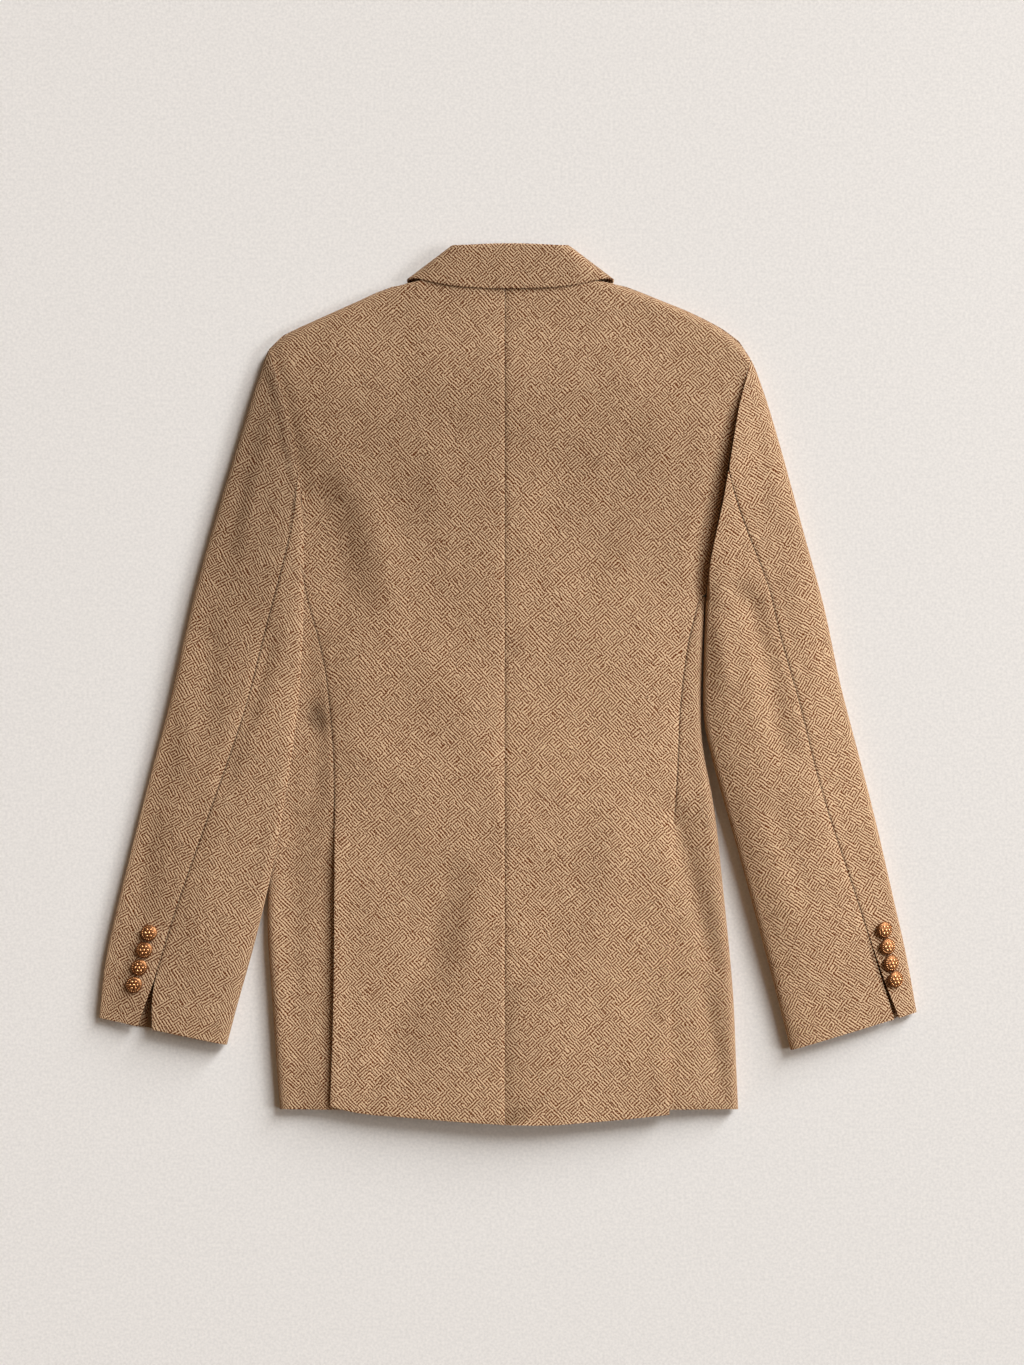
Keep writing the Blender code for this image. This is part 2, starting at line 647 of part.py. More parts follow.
def over_buttons(x, y):
    """1 over the buttons of the fronts, easing to 0 around them."""
    across = abs(x - FRONT_CENTRE) - max(FRONT_BUTTON_SPREADS) - FRONT_BUTTON_DIAMETER / 2
    above = y - FRONT_BUTTON_LEVELS[0] - FRONT_BUTTON_DIAMETER / 2
    below = FRONT_BUTTON_LEVELS[-1] - FRONT_BUTTON_DIAMETER / 2 - y
    slopes = [ease(1.0 - (past - LAYER_MARGIN) / BUTTON_RAMP) for past in (across, above, below)]
    return math.prod(slopes)


def over_right_front(x, y):
    """1 over the front that lies outermost, easing to 0 past its edge."""
    return ease(1.0 + (x - roll_line(RIGHT, y) + FRONT_MARGIN) / RAMP)


def front_lift(side, x, y):
    lift = LAYER * over_lapel(side, x, y) + BUTTON_LIFT * over_buttons(x, y)
    if side is LEFT:
        lift += LAYER * over_right_front(x, y)
        lift += LAYER * over_right_front(x, y) * over_lapel(RIGHT, x, y)
    return lift


def front_panel(name, side, finish):
    """From the front edge and the lapel's roll line to the side front seam and armhole."""
    break_share = SEAM_SHARE * SEAM_ROWS[BREAK_ROW]
    gorge_level = LAPEL[-1].edge_y + 2.0
    gorge = np.array((roll_line(side, gorge_level) + side.sign, gorge_level))
    neck_share = 0.38
    shoulder_share = 0.37
    shoulder_start = side.shoulder(shoulder_share)

    def side_seam(share):
        level = seam_level(share, HEM, side.armpit_level)
        return np.array((side.edge(level) - side.sign * TUCK_UNDER, level))

    def armhole_up(share):
        tip_gap = SHOULDER_ROLL / side.armhole.length
        free = side.armhole(1.0 - share * (1.0 - tip_gap))
        tuck = TUCK_UNDER * ease(1.0 - 3.0 * share)
        return free - np.array((side.sign * tuck, 0.0))

    def front_edge(share):
        level = mix(HEM, BREAK_LEVEL, share)
        return np.array((roll_line(side, level), level))

    def roll_edge(share):
        level = mix(BREAK_LEVEL, gorge_level - SHOULDER_ROLL, share)
        return np.array((roll_line(side, level), level))

    def top_edge(u):
        if u < neck_share:
            return mix(gorge, shoulder_start, u / neck_share)
        return side.shoulder(mix(shoulder_share, 1.0, (u - neck_share) / (1.0 - neck_share)))

    def flat_top(u):
        return yoke_landing(side, top_edge(u), u)

    def hem(u):
        return np.array((mix(roll_line(side, HEM), side_seam(0.0)[0], u), HEM))

    plan = patch(hem, flat_top, chain(front_edge, roll_edge, break_share),
                 chain(side_seam, armhole_up, SEAM_SHARE))

    def height(x, y):
        return side.bottom(x, y, front_lift(side, x, y))

    def surface(u, v):
        if v > 1.0:
            return yoke_roll(side, top_edge(u), u, v, height)
        x, y = plan(u, v)
        return np.array((x, y, height(x, y)))

    narrowest = abs(side_seam(0.0)[0] - front_edge(0.0)[0])
    us = np.linspace(0.0, 1.0 - 0.5 * SEAM_GAP / narrowest, 14)
    vs = [*SEAM_ROWS * SEAM_SHARE, *np.linspace(SEAM_SHARE, 1.0, 8)[1:], *YOKE_ROWS]
    return wall(name, surface, us, vs, side.sign, finish, floor=True)


def lapel(name, side, finish):
    """The lapel, turned back under its front, from its roll line to its peak."""
    shares = np.linspace(0.0, 1.0, len(LAPEL))
    roll_level = track(shares, column(LAPEL, "roll_level"))
    edge_x = track(shares, column(LAPEL, "edge_x"))
    edge_y = track(shares, column(LAPEL, "edge_y"))

    def surface(u, v):
        level = roll_level(v)
        start = np.array((roll_line(side, level), level))
        end = np.array((FRONT_CENTRE - side.sign * edge_x(v), edge_y(v)))
        x, y = mix(start, end, u)
        y -= GORGE_DIP * (1.0 - abs(2.0 * u - 1.0)) * ease(4.0 * v - 3.0)
        lift = 0.0
        if side is LEFT:
            lift = LAYER * over_right_front(x, y) * (1.0 + over_lapel(RIGHT, x, y))
            lift += BUTTON_LIFT * over_buttons(x, y)
        return np.array((x, y, lift))

    us = np.linspace(0.0, 1.0, 6)
    vs = np.linspace(0.0, 1.0, 13)
    return wall(name, surface, us, vs, side.sign, finish, floor=True)


# ---------------------------------------------------------------- the collar
def collar_section(place):
    """Fold, edge and seam points and the outward direction, place 0 mid back to +-1 front end."""
    across = 1.0 if place > 0.0 else -1.0
    shares = np.linspace(0.0, 1.0, len(COLLAR))
    share = abs(place)
    row = {name: float(track(shares, column(COLLAR, name))(share)) for name in CollarRow._fields}
    fold = np.array((COLLAR_MIDDLE - across * row["fold_x"], row["fold_y"], COLLAR_CORE))
    edge = np.array((COLLAR_MIDDLE - across * row["edge_x"], row["edge_y"], COLLAR_CORE))
    seam = np.array((COLLAR_MIDDLE - across * row["seam_x"], row["seam_y"], COLLAR_CORE))
    face = math.radians(row["face"])
    slant = math.radians(COLLAR_SIDE)
    sideways = np.array((across * math.cos(slant), math.sin(slant), 0.0))
    outward = sideways * math.cos(face) + np.array((0.0, 0.0, 1.0)) * math.sin(face)
    return fold, edge, seam, outward


COLLAR_PLACES = np.concatenate((np.linspace(-1.0, -0.18, 14), (-0.09, 0.0, 0.09),
                                np.linspace(0.18, 1.0, 14)))


def collar_fall(name, finish):
    """The part that turns over: from the small round of the fold to its free edge."""
    hook = 3                # us up to here run round the fold, and the rest down the fall
    end = 7

    def surface(u, v):
        fold, edge, _, outward = collar_section(v)
        run = (edge - fold) / np.linalg.norm(edge - fold)
        if u < hook:
            turn = math.pi * (1.0 - u / hook)
            centre = fold + outward * (FALL_OUT - COLLAR_FOLD) + run * COLLAR_FOLD
            swing = -run * math.sin(turn) + outward * math.cos(turn)
            return centre + swing * COLLAR_FOLD
        start = fold + outward * FALL_OUT + run * COLLAR_FOLD
        return mix(start, edge + outward * FALL_OUT, (u - hook) / (end - hook))

    us = [*np.linspace(0.0, hook, 5), *np.linspace(hook, end, 4)[1:]]
    return wall(name, surface, us, COLLAR_PLACES, -1, finish, floor=True, step=0.002)


def collar_stand(name, finish):
    """The part that stands inside the fall, from the neck seam to the fold."""

    def surface(u, v):
        fold, _, seam, outward = collar_section(v)
        run = (seam - fold) / np.linalg.norm(seam - fold)
        start = fold + outward * STAND_OUT + run * (COLLAR_FOLD + 2.0 * SEAM_GAP)
        return mix(start, seam + outward * STAND_OUT, u)

    return wall(name, surface, np.linspace(0.0, 1.0, 4), COLLAR_PLACES * 0.97, -1, finish, step=0.002)


# ---------------------------------------------------------------- the sleeves
class Sleeve:
    """A flattened tube.  along: 0 armhole to 1 cuff.  around: 0 outer edge, 1 inner, 2 outer."""

    HEAD = 0.13             # share of the length that blends into the armhole
    TOP_POWER = 3.0         # how square the section is above its folds
    UNDER_POWER = 5.0       # and below them
    HEAD_GAP = 0.48         # the sleeve stays this far from the armhole
    HEAD_GAP_SHARE = 0.05   # over this share of its length
    TIP_GAP = 4.0           # and this many times further at the shoulder's tip
    TIP_SHARE = 0.04
    SEAM_SLANT = 2.6        # the elbow seam meets the armhole at a slant, which takes this much more
    LAP_IN = 16.0           # the left sleeve starts to rise this far outside the body's edge
    LAP_RISE = 15.0         # and rises over this width
    LAP_ABOVE = 28.0        # it lies on the body from this far above the armpit
    LAP_END = -232.0        # down to this level
    LAP_FADE = 50.0
    LAP_CLEAR = 1.2         # and this far clear of the folded edge

    def __init__(self, side, rows, elbow):
        self.side = side
        shares = np.linspace(0.0, 1.0, len(rows))
        self.outer = track(shares, np.array([(row.outer_x, row.outer_y) for row in rows]))
        self.inner = track(shares, np.array([(row.inner_x, row.inner_y) for row in rows]))
        self.height = track(shares, column(rows, "top"))
        self.outer_fold = track(shares, column(rows, "outer_fold"))
        self.inner_fold = track(shares, column(rows, "inner_fold"))
        levels = column(elbow, "level")
        self.elbow = track(levels, column(elbow, "x"))
        self.vent = track(levels, column(elbow, "opening"))

    def plan(self, share, v):
        straight = mix(self.outer(v), self.inner(v), share)
        head = self.side.armhole(share)
        chord = mix(self.outer(0.0), self.inner(0.0), share)
        place = straight + (head - chord) * (1.0 - ease(v / self.HEAD))
        tip = 1.0 + self.TIP_GAP * ease(1.0 - share / self.TIP_SHARE)
        away = self.HEAD_GAP * (1.0 - ease(v / self.HEAD_GAP_SHARE)) * tip
        return place + away * np.array((self.side.sign, -SEAM_GAP))

    def raised(self, x, y):
        """Where the sleeve lies on the body's side, how far that lifts it."""
        if self.side is RIGHT:
            return 0.0
        level = min(y, LEFT.armpit_level)
        over_edge = ease((x - LEFT.edge(level) + self.LAP_IN) / self.LAP_RISE)
        below_top = ease((LEFT.armpit_level + self.LAP_ABOVE - y) / self.LAP_ABOVE)
        above_end = ease((y - self.LAP_END) / self.LAP_FADE)
        return (LEFT.fold(level) + self.LAP_CLEAR) * over_edge * below_top * above_end

    def point(self, w, v):
        share = 0.5 * (1.0 - math.cos(math.pi * w))
        x, y = self.plan(share, v)
        across = abs(math.cos(math.pi * w))
        lift = self.raised(x, y)
        fold = mix(self.outer_fold(v), self.inner_fold(v), share)
        if 0.0 <= w % 2.0 <= 1.0:
            shape = (1.0 - across**self.TOP_POWER)**(1.0 / self.TOP_POWER)
            own = lift + fold + (self.height(v) - lift - fold) * shape
            head = lift + fold + (self.side.top(*self.side.armhole(share)) - lift - fold) * shape
            z = mix(head, own, ease(v / self.HEAD))
        else:
            shape = (1.0 - across**self.UNDER_POWER)**(1.0 / self.UNDER_POWER)
            z = lift + fold * (1.0 - min(1.0, 1.05 * shape))
        return np.array((x, y, z))

    def half_gap(self, w, v, gap):
        """Half of a gap between two pieces, as a step around the sleeve."""
        width = np.linalg.norm(self.outer(v) - self.inner(v))
        gap *= 1.0 + self.SEAM_SLANT * (1.0 - ease(0.4 * v / self.HEAD))
        per_turn = width * 0.5 * math.pi * max(abs(math.sin(math.pi * w)), 0.12)
        return 0.5 * gap / per_turn

    def elbow_turn(self, v, opening):
        """Where around section v the elbow seam runs, moved in by a share of the vent's opening."""
        low = 0.02
        high = 0.99
        for _ in range(30):
            middle = 0.5 * (low + high)
            x, y = self.plan(0.5 * (1.0 - math.cos(math.pi * middle)), v)
            seam = self.elbow(y) - self.side.sign * opening * max(self.vent(y), 0.0)
            if self.side.sign * (x - seam) > 0.0:
                low = middle
            else:
                high = middle
        return 0.5 * (low + high)


FOREARM_TURN = 1.28         # where the hidden forearm seam is, under the sleeve
FOREARM_GAP = 0.6
SLEEVE_ROWS = np.concatenate(((0.0, 0.02, 0.045, 0.075, 0.105), np.linspace(0.15, 0.85, 11),
                              (0.90, 0.95, 1.0)))


def sleeve_top(name, sleeve, finish):
    """From the elbow seam out round the outer edge and under to the forearm seam."""

    def surface(u, v):
        seam = sleeve.elbow_turn(v, 0.0)
        seam -= sleeve.half_gap(seam, v, SEAM_GAP)
        if u <= 1.0:
            return sleeve.point(seam * (1.0 - u), v)
        forearm = 2.0 - FOREARM_TURN - sleeve.half_gap(FOREARM_TURN, v, FOREARM_GAP)
        return sleeve.point(-forearm * (u - 1.0), v)

    us = [0.0, 0.14, 0.28, 0.42, 0.56, 0.69, 0.81, 0.92, 1.0, 1.07, 1.15, 1.28, 1.46, 1.64, 1.82, 2.0]
    return wall(name, surface, us, SLEEVE_ROWS, sleeve.side.sign, finish, floor=True, step=0.002)


def sleeve_under(name, sleeve, finish):
    """From the elbow seam in round the inner edge and under to the forearm seam."""

    def surface(u, v):
        seam = sleeve.elbow_turn(v, 1.0)
        seam += sleeve.half_gap(seam, v, SEAM_GAP)
        if u <= 1.0:
            return sleeve.point(mix(seam, 1.0, u), v)
        forearm = FOREARM_TURN - sleeve.half_gap(FOREARM_TURN, v, FOREARM_GAP)
        return sleeve.point(mix(1.0, forearm, u - 1.0), v)

    us = [0.0, 0.16, 0.34, 0.52, 0.68, 0.82, 0.93, 1.0, 1.2, 1.45, 1.7, 2.0]
    return wall(name, surface, us, SLEEVE_ROWS, -sleeve.side.sign, finish, floor=True, step=0.002)


# ---------------------------------------------------------------- the buttons
def button_profile(radius, height):
    """Radius and height of a domed button with a short shank, from its foot to its crown."""
    shank = 0.30 * radius
    return (
        (shank, 0.0),
        (shank, 0.28 * height),
        (radius, 0.40 * height),
        (0.88 * radius, 0.72 * height),
        (0.50 * radius, 0.94 * height),
    )


def button(name, place, lean, diameter, height, finish, flip=False):
    """A domed button with its foot at place, leaning by two angles in degrees."""
    sides = 12
    rings = button_profile(diameter / 2, height)
    down = -1.0 if flip else 1.0
    points = [(0.0, 0.0, 0.0)]
    for radius, level in rings:
        for k in range(sides):
            turn = 2.0 * math.pi * k / sides
            points.append((radius * math.cos(turn), radius * math.sin(turn), down * level))
    points.append((0.0, 0.0, down * height))
    faces = []
    for k in range(sides):
        after = (k + 1) % sides
        faces.append((0, 1 + after, 1 + k))
        for ring in range(len(rings) - 1):
            low = 1 + ring * sides
            high = low + sides
            faces.append((low + k, low + after, high + after, high + k))
        crown = 1 + (len(rings) - 1) * sides
        faces.append((crown + k, crown + after, len(points) - 1))
    if flip:
        faces = [tuple(reversed(face)) for face in faces]
    lean_x, lean_y = (math.radians(angle) for angle in lean)
    tilt_y = np.array(((math.cos(lean_x), 0.0, math.sin(lean_x)), (0.0, 1.0, 0.0),
                       (-math.sin(lean_x), 0.0, math.cos(lean_x))))
    tilt_x = np.array(((1.0, 0.0, 0.0), (0.0, math.cos(lean_y), math.sin(lean_y)),
                       (0.0, -math.sin(lean_y), math.cos(lean_y))))
    turned = [np.asarray(place) + tilt_x @ tilt_y @ np.array(point) for point in points]
    add_object(name, turned, faces, finish).data.shade_smooth()


def sleeve_height(sleeve, x, y):
    """Height and normal of the sleeve's upper face over a spot in plan near the cuff."""
    w = 0.5
    v = 0.9
    tiny = 0.001
    for _ in range(12):
        here = sleeve.point(w, v)
        along_w = (sleeve.point(w + tiny, v) - here) / tiny
        along_v = (sleeve.point(w, v + tiny) - here) / tiny
        steps = np.linalg.solve(np.column_stack((along_w[:2], along_v[:2])), (x - here[0], y - here[1]))
        w += float(steps[0])
        v += float(steps[1])
    return sleeve.point(w, v)[2], normal_at(sleeve.point, w, v, 0.003)


def cuff_buttons(side_name, sleeve, rows, finish):
    """A row of small dome buttons that lean with the sleeve, just clear of it."""
    for number, row in enumerate(rows, start=1):
        level, out = sleeve_height(sleeve, row.x, row.y)
        out = out * math.copysign(1.0, out[2])
        lean_x = math.degrees(math.atan2(out[0], out[2])) + row.lean_x
        lean_y = math.degrees(math.atan2(out[1], out[2])) + row.lean_y
        place = np.array((row.x, row.y, level)) + out * CUFF_BUTTON_CLEAR
        button(f"cuff_button_{side_name}_{number}", place, (lean_x, lean_y),
               CUFF_BUTTON_DIAMETER, CUFF_BUTTON_HEIGHT, finish)


def front_buttons(finish):
    """Two columns of buttons under the outermost front, face down on the ground."""
    number = 0
    for level, spread in zip(FRONT_BUTTON_LEVELS, FRONT_BUTTON_SPREADS):
        for sign in (-1, 1):
            number += 1
            x = FRONT_CENTRE + sign * spread
            place = (x, level, front_lift(RIGHT, x, level) - SEAM_GAP)
            button(f"front_button_{number}", place, (0.0, 0.0),
                   FRONT_BUTTON_DIAMETER, FRONT_BUTTON_HEIGHT, finish, flip=True)


# ---------------------------------------------------------------- the whole blazer
def main():
    for old in list(bpy.data.objects):
        bpy.data.objects.remove(old, do_unlink=True)
    camel = (0.36, 0.22, 0.12)

    def wool(name):
        return material(name + "_wool", camel, 0.85)

    for side, word in ((LEFT, "left"), (RIGHT, "right")):
        back_panel(f"back_{word}", side, wool(f"back_{word}"))
        side_panel(f"side_{word}", side, wool(f"side_{word}"))
        front_panel(f"front_{word}", side, wool(f"front_{word}"))
        lapel(f"lapel_{word}", side, wool(f"lapel_{word}"))
    collar_fall("collar_fall", wool("collar_fall"))
    collar_stand("collar_stand", wool("collar_stand"))
    metal = material("antique_copper", (0.55, 0.27, 0.13), 0.35, 1.0)
    for side, word, rows, elbow, buttons in (
            (LEFT, "left", SLEEVE_LEFT, ELBOW_LEFT, CUFF_BUTTONS_LEFT),
            (RIGHT, "right", SLEEVE_RIGHT, ELBOW_RIGHT, CUFF_BUTTONS_RIGHT)):
        sleeve = Sleeve(side, rows, elbow)
        sleeve_top(f"sleeve_{word}_top", sleeve, wool(f"sleeve_{word}_top"))
        sleeve_under(f"sleeve_{word}_under", sleeve, wool(f"sleeve_{word}_under"))
        cuff_buttons(word, sleeve, buttons, metal)
    front_buttons(metal)


main()
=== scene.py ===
"""Dresses a packed double breasted blazer, laid face down, for its portrait.

Every cut piece gets a fine shell of woven wool on its solid's form, with soft creases and eased
seams.  The buttons are cast metal domes.  A pale floor, soft light and a camera overhead set the
stage.  Tables are in millimetres, in the blazer's frame: +Y to the collar, +X to the wearer's
right, +Z up from the floor.  Meshes are in metres.
"""

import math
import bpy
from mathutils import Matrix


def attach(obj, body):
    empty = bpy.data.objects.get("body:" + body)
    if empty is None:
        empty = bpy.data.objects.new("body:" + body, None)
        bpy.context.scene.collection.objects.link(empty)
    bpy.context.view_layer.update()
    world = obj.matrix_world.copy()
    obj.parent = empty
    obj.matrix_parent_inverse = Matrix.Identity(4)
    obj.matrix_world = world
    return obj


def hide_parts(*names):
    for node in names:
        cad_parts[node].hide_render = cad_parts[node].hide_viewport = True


bl_info = {
    "name": "Blazer Dresser",
    "version": (1, 0, 0),
    "blender": (4, 5, 0),
    "location": "View3D > Sidebar > Blazer",
    "description": "Dresses a packed blazer in woven wool and cast metal, on a pale stage",
    "category": "Object",
}

from collections import namedtuple

import bmesh
import bpy
import numpy as np
from mathutils import Matrix, Vector

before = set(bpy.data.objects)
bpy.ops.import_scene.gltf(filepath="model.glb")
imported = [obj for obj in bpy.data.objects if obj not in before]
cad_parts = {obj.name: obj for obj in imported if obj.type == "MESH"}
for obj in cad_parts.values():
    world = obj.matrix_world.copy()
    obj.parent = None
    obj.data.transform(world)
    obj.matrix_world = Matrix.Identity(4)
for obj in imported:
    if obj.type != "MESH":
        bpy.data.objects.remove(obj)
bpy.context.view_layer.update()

MM = 0.001

# ------------------------ colours
def linear(code, alpha=1.0):
    """A colour given as sRGB hex, as linear red, green and blue."""
    parts = [int(code[k:k + 2], 16) / 255 for k in (1, 3, 5)]
    values = [c / 12.92 if c <= 0.04045 else ((c + 0.055) / 1.055) ** 2.4 for c in parts]
    return (*values, alpha)


# ------------------------ the blazer's lines, in plan
CENTRE_BACK = -2.2
FLOOR_CLEAR = 0.3       # the floor lies this far under the cloth
SIDE_FOLD = 8.0         # height of the folds at the sides, above which the upper layer lies
TURN_UP = 9.0           # a sleeve's inner edge turns up sharply by as much above its fold
COLLAR_END_DROP = 1.2   # the collar's two ends come down onto the shoulders by this
HEAD_LAP = 1.1          # the left sleeve's head laps over its seam by this
HEAD_LAP_WAY = (0.978, 0.207)
TIP_LAP = 1.8           # both heads close up to the shoulder's tip by this
TIP_REACH = 9.0

# Seams that show from above, each as a few points from top to bottom.
SEAMS = {
    "centre_back": ((CENTRE_BACK, 362), (CENTRE_BACK, -397)),
    "side_left": ((-185.5, 105), (-179.1, 70.2), (-171.5, 44.8), (-164.4, 13.6),
                  (-160.7, -15.8), (-156.6, -64.4), (-155.6, -126.9)),
    "side_right": ((173.4, 78), (168.8, 60), (163.6, 40), (158, 1.4), (155.4, -25.7),
                   (154.2, -56.7), (152.9, -86), (150.2, -126.9)),
    "elbow_left": ((-191, 176), (-198.4, 122.9), (-205.8, 93.2), (-219.7, 41.9),
                   (-234, -18.4), (-261.4, -97.2), (-283.1, -158.8), (-303, -216.1),
                   (-317.5, -264)),
    "elbow_right": ((203, 177), (208.2, 158.4), (218.2, 131.8), (236.5, 85), (245, 44.6),
                    (261.4, -10.3), (282.7, -97.2), (303.8, -160.7), (318.8, -205.7),
                    (328, -243), (339, -272), (350.5, -303)),
    "armhole_left": ((-215.6, 301.4), (-208, 275.9), (-199.5, 243.8), (-195.2, 216.5),
                     (-190.4, 195), (-186.3, 172), (-185, 157)),
    "armhole_right": ((219.5, 293), (213.2, 269.6), (207.5, 248), (203, 219.2),
                      (198.2, 191.6), (193.1, 160), (186.6, 132.8), (182.2, 111.2),
                      (178.9, 78)),
}

# The wearer's left vent: its edge and its top, and how much the edge lifts and the underlap dips.
Vent = namedtuple("Vent", "edge top lift dip")
VENT_LEFT = Vent(-156, -127, 1.2, 0.8)

# Soft creases of the upper layer: from, to, half width and height, a trough being negative.
Crease = namedtuple("Crease", "x0 y0 x1 y1 half height")
UPPER_CREASES = (
    # the wearer's left shoulder blade, down from the armhole
    Crease(-208, 270, -188, 190, 16, -1.2),
    Crease(-198, 214, -136, 74, 36, -2.7),
    Crease(-158, 214, -98, 92, 20, 1.2),
    Crease(-106, 176, -84, 44, 17, -1.5),
    Crease(-66, 214, -52, 96, 14, 0.9),
    # the wearer's right shoulder blade
    Crease(62, 206, 30, 140, 20, -1.5),
    Crease(96, 122, 60, 84, 18, -1),
    Crease(140, 262, 118, 150, 24, 1.2),
    Crease(-150, 276, 150, 276, 62, 2.6),
    # the waist
    Crease(-150, -30, -50, -52, 24, -0.7),
    Crease(-140, -72, -60, -62, 18, 0.4),
    Crease(36, -34, 146, -60, 26, -0.7),
    Crease(150, 20, 96, 6, 18, 0.5),
    # puckers of the side body where the sleeve lies off it
    Crease(-182, -20, -172, -44, 9, -5),
    Crease(-198, -58, -176, -70, 7, 1.2),
    Crease(-180, -60, -168, -110, 9, -1),
    # the skirt
    Crease(-48, -166, -70, -254, 18, -2.6),
    Crease(-72, -246, -108, -330, 17, -2.2),
    Crease(-26, -170, -44, -290, 16, 1.1),
    Crease(-108, -322, -128, -386, 10, -1.2),
    Crease(124, -280, 126, -362, 9, -1.4),
    Crease(100, -110, 84, -230, 20, 1.5),
    Crease(40, -300, 60, -380, 16, 0.9),
    Crease(150, -118, 186, -260, 10, -2.8),
    Crease(176, -272, 196, -376, 8, -1.9),
    Crease(-182, -190, -186, -340, 12, 1.2),
    # the wearer's left sleeve
    Crease(-216, 268, -252, 120, 9, -1.4),
    Crease(-226, 196, -240, 100, 8, 0.9),
    Crease(-214, 40, -232, -34, 8, -2),
    Crease(-232, -18, -256, -92, 9, -2.2),
    Crease(-268, 60, -270, -50, 12, -1.2),
    Crease(-292, 30, -290, -80, 12, 1.1),
    Crease(-322, -96, -330, -210, 12, -1.5),
    Crease(-262, -150, -284, -240, 12, 1),
    # the wearer's right sleeve
    Crease(202, 88, 226, 66, 11, -2.6),
    Crease(192, 56, 196, 0, 9, 1.6),
    Crease(218, 72, 236, 12, 11, -2.8),
    Crease(234, 12, 250, -66, 11, -2.4),
    Crease(256, 100, 280, 0, 13, 1.5),
    Crease(262, -70, 300, -190, 14, 1.1),
    Crease(240, -110, 268, -200, 12, -1.4),
    Crease(236, 238, 244, 150, 10, 1),
)
# Where the lowest layer lifts off the floor.
LOWER_CREASES = (
    Crease(-150, 250, -96, 60, 14, 1.4),
    Crease(150, 230, 110, 40, 16, 1.4),
    Crease(-120, -210, -150, -380, 12, 1.5),
    Crease(92, -250, 120, -380, 14, 1.6),
    Crease(150, -40, 60, -20, 14, 1),
    Crease(-150, -60, -80, -34, 14, 1),
    Crease(-236, 120, -262, -30, 10, 1.4),
    Crease(-300, -110, -322, -250, 10, 1.2),
    Crease(230, 120, 262, -40, 10, 1.4),
    Crease(296, -120, 318, -260, 10, 1.2),
)

# A sleeve's outer edge, down from the shoulder.
OUTER_EDGES = {
    "left": ((-215.6, 301.4), (-302.9, -9.5), (-368.8, -301.6)),
    "right": ((219.5, 293), (295.7, 21.2), (369.4, -296.6)),
}
# The hems, along which the upper layer comes down by as much, in a strip of this half width.
HEM_DROP = 0.4
HEM_FADE = 24.0
BODY_HEM = ((-190, -384), (0, -397), (190, -384))
HEMS = {
    "back": BODY_HEM,
    "side": BODY_HEM,
    "sleeve_left": ((-369, -305), (-255, -327)),
    "sleeve_right": ((253, -329), (367, -299)),
}
# The groove that the wearer's right armhole seam lies in: its depth at each level.
RIGHT_GROOVE = ((66, 3.5), (90, 8.5), (150, 11), (190, 10.5), (235, 7.5), (275, 3.5), (293, 0.6))
# Painted light and shade: how light the colour of each kind of piece is made, above the chest's level
# and below the waist's, where more or less light falls on it.
PaintedLight = namedtuple("PaintedLight", "high low")
PAINTED_LIGHT = {"sleeve_left": PaintedLight(0.62, 0.91), "sleeve_right": PaintedLight(0.99, 1.07), "collar": PaintedLight(0.85, 0.85),
       "side_right": PaintedLight(0.84, 0.96)}
PLAIN_PAINTED_LIGHT = PaintedLight(0.87, 1.01)
WAIST_LEVEL = -30.0
CHEST_LEVEL = 230.0
# Painted shade where the wearer's left side body is tucked in under the sleeve: its colour is darkened
# here.
TuckShade = namedtuple("TuckShade", "x y half_x half_y dark")
TUCK_SHADE = TuckShade(-173, -32, 10, 13, 0.42)
PAINTED_LIGHT_ACROSS = 0.00016    # painted light: the body's colour is made lighter by this for each mm to the wearer's right, where the light is stronger

# A sleeve's grain: a point on its middle line and how many degrees that line leans from -Y.
Grain = namedtuple("Grain", "x y lean")
SLEEVE_GRAINS = {
    "sleeve_left_top": Grain(-215, 260, -14),
    "sleeve_left_under": Grain(-200, 200, -10.5),
    "sleeve_right_top": Grain(225, 250, 15),
    "sleeve_right_under": Grain(205, 200, 13),
}

# Each cut piece of cloth: its cut width and length, its flat area, how finely it is divided, and
# what it lies on.
Cut = namedtuple("Cut", "width length area levels lies_on")
CUTS = {
    "back_left": Cut(0.222, 0.765, 0.127, 3, ["front_left"]),
    "back_right": Cut(0.224, 0.765, 0.129, 3, ["front_right"]),
    "side_left": Cut(0.115, 0.541, 0.048, 2, ["front_left"]),
    "side_right": Cut(0.115, 0.463, 0.041, 2, ["front_right"]),
    "front_left": Cut(0.29, 0.75, 0.161, 2, ["front_right"]),
    "front_right": Cut(0.29, 0.75, 0.152, 2, ["lapel_right"]),
    "lapel_left": Cut(0.125, 0.345, 0.026, 2, ["lapel_right"]),
    "lapel_right": Cut(0.125, 0.345, 0.026, 2, []),
    "collar_fall": Cut(0.05, 0.31, 0.013, 2, ["collar_stand"]),
    "collar_stand": Cut(0.034, 0.25, 0.0062, 2, ["back_left", "back_right"]),
    "sleeve_left_top": Cut(0.19, 0.64, 0.092, 3, ["side_left"]),
    "sleeve_left_under": Cut(0.112, 0.53, 0.038, 3, ["side_left"]),
    "sleeve_right_top": Cut(0.175, 0.64, 0.08, 3, ["side_right"]),
    "sleeve_right_under": Cut(0.132, 0.54, 0.051, 3, ["side_right"]),
}

# The key light is a tall one, with a weaker one to its right: each lamp stands this many degrees
# over and beside the light's middle, and gives this share of its power.
Lamp = namedtuple("Lamp", "lift turn share")
KEY_LAMPS = (Lamp(-15, 0, 0.28), Lamp(0, 0, 0.28), Lamp(15, 0, 0.26), Lamp(2, -50, 0.18))
SOFTBOX_SIZE = 1.2
SOFTBOX_PLACE = (1.9, 0.6, 1.2)
# The camera looks at this spot of the floor, and its frame's height is taken at the cloth's top.
FRAME_MIDDLE = (0.00405, 0.0009)
CLOTH_TOP = 0.018
FLOOR_SIZE = 40.0


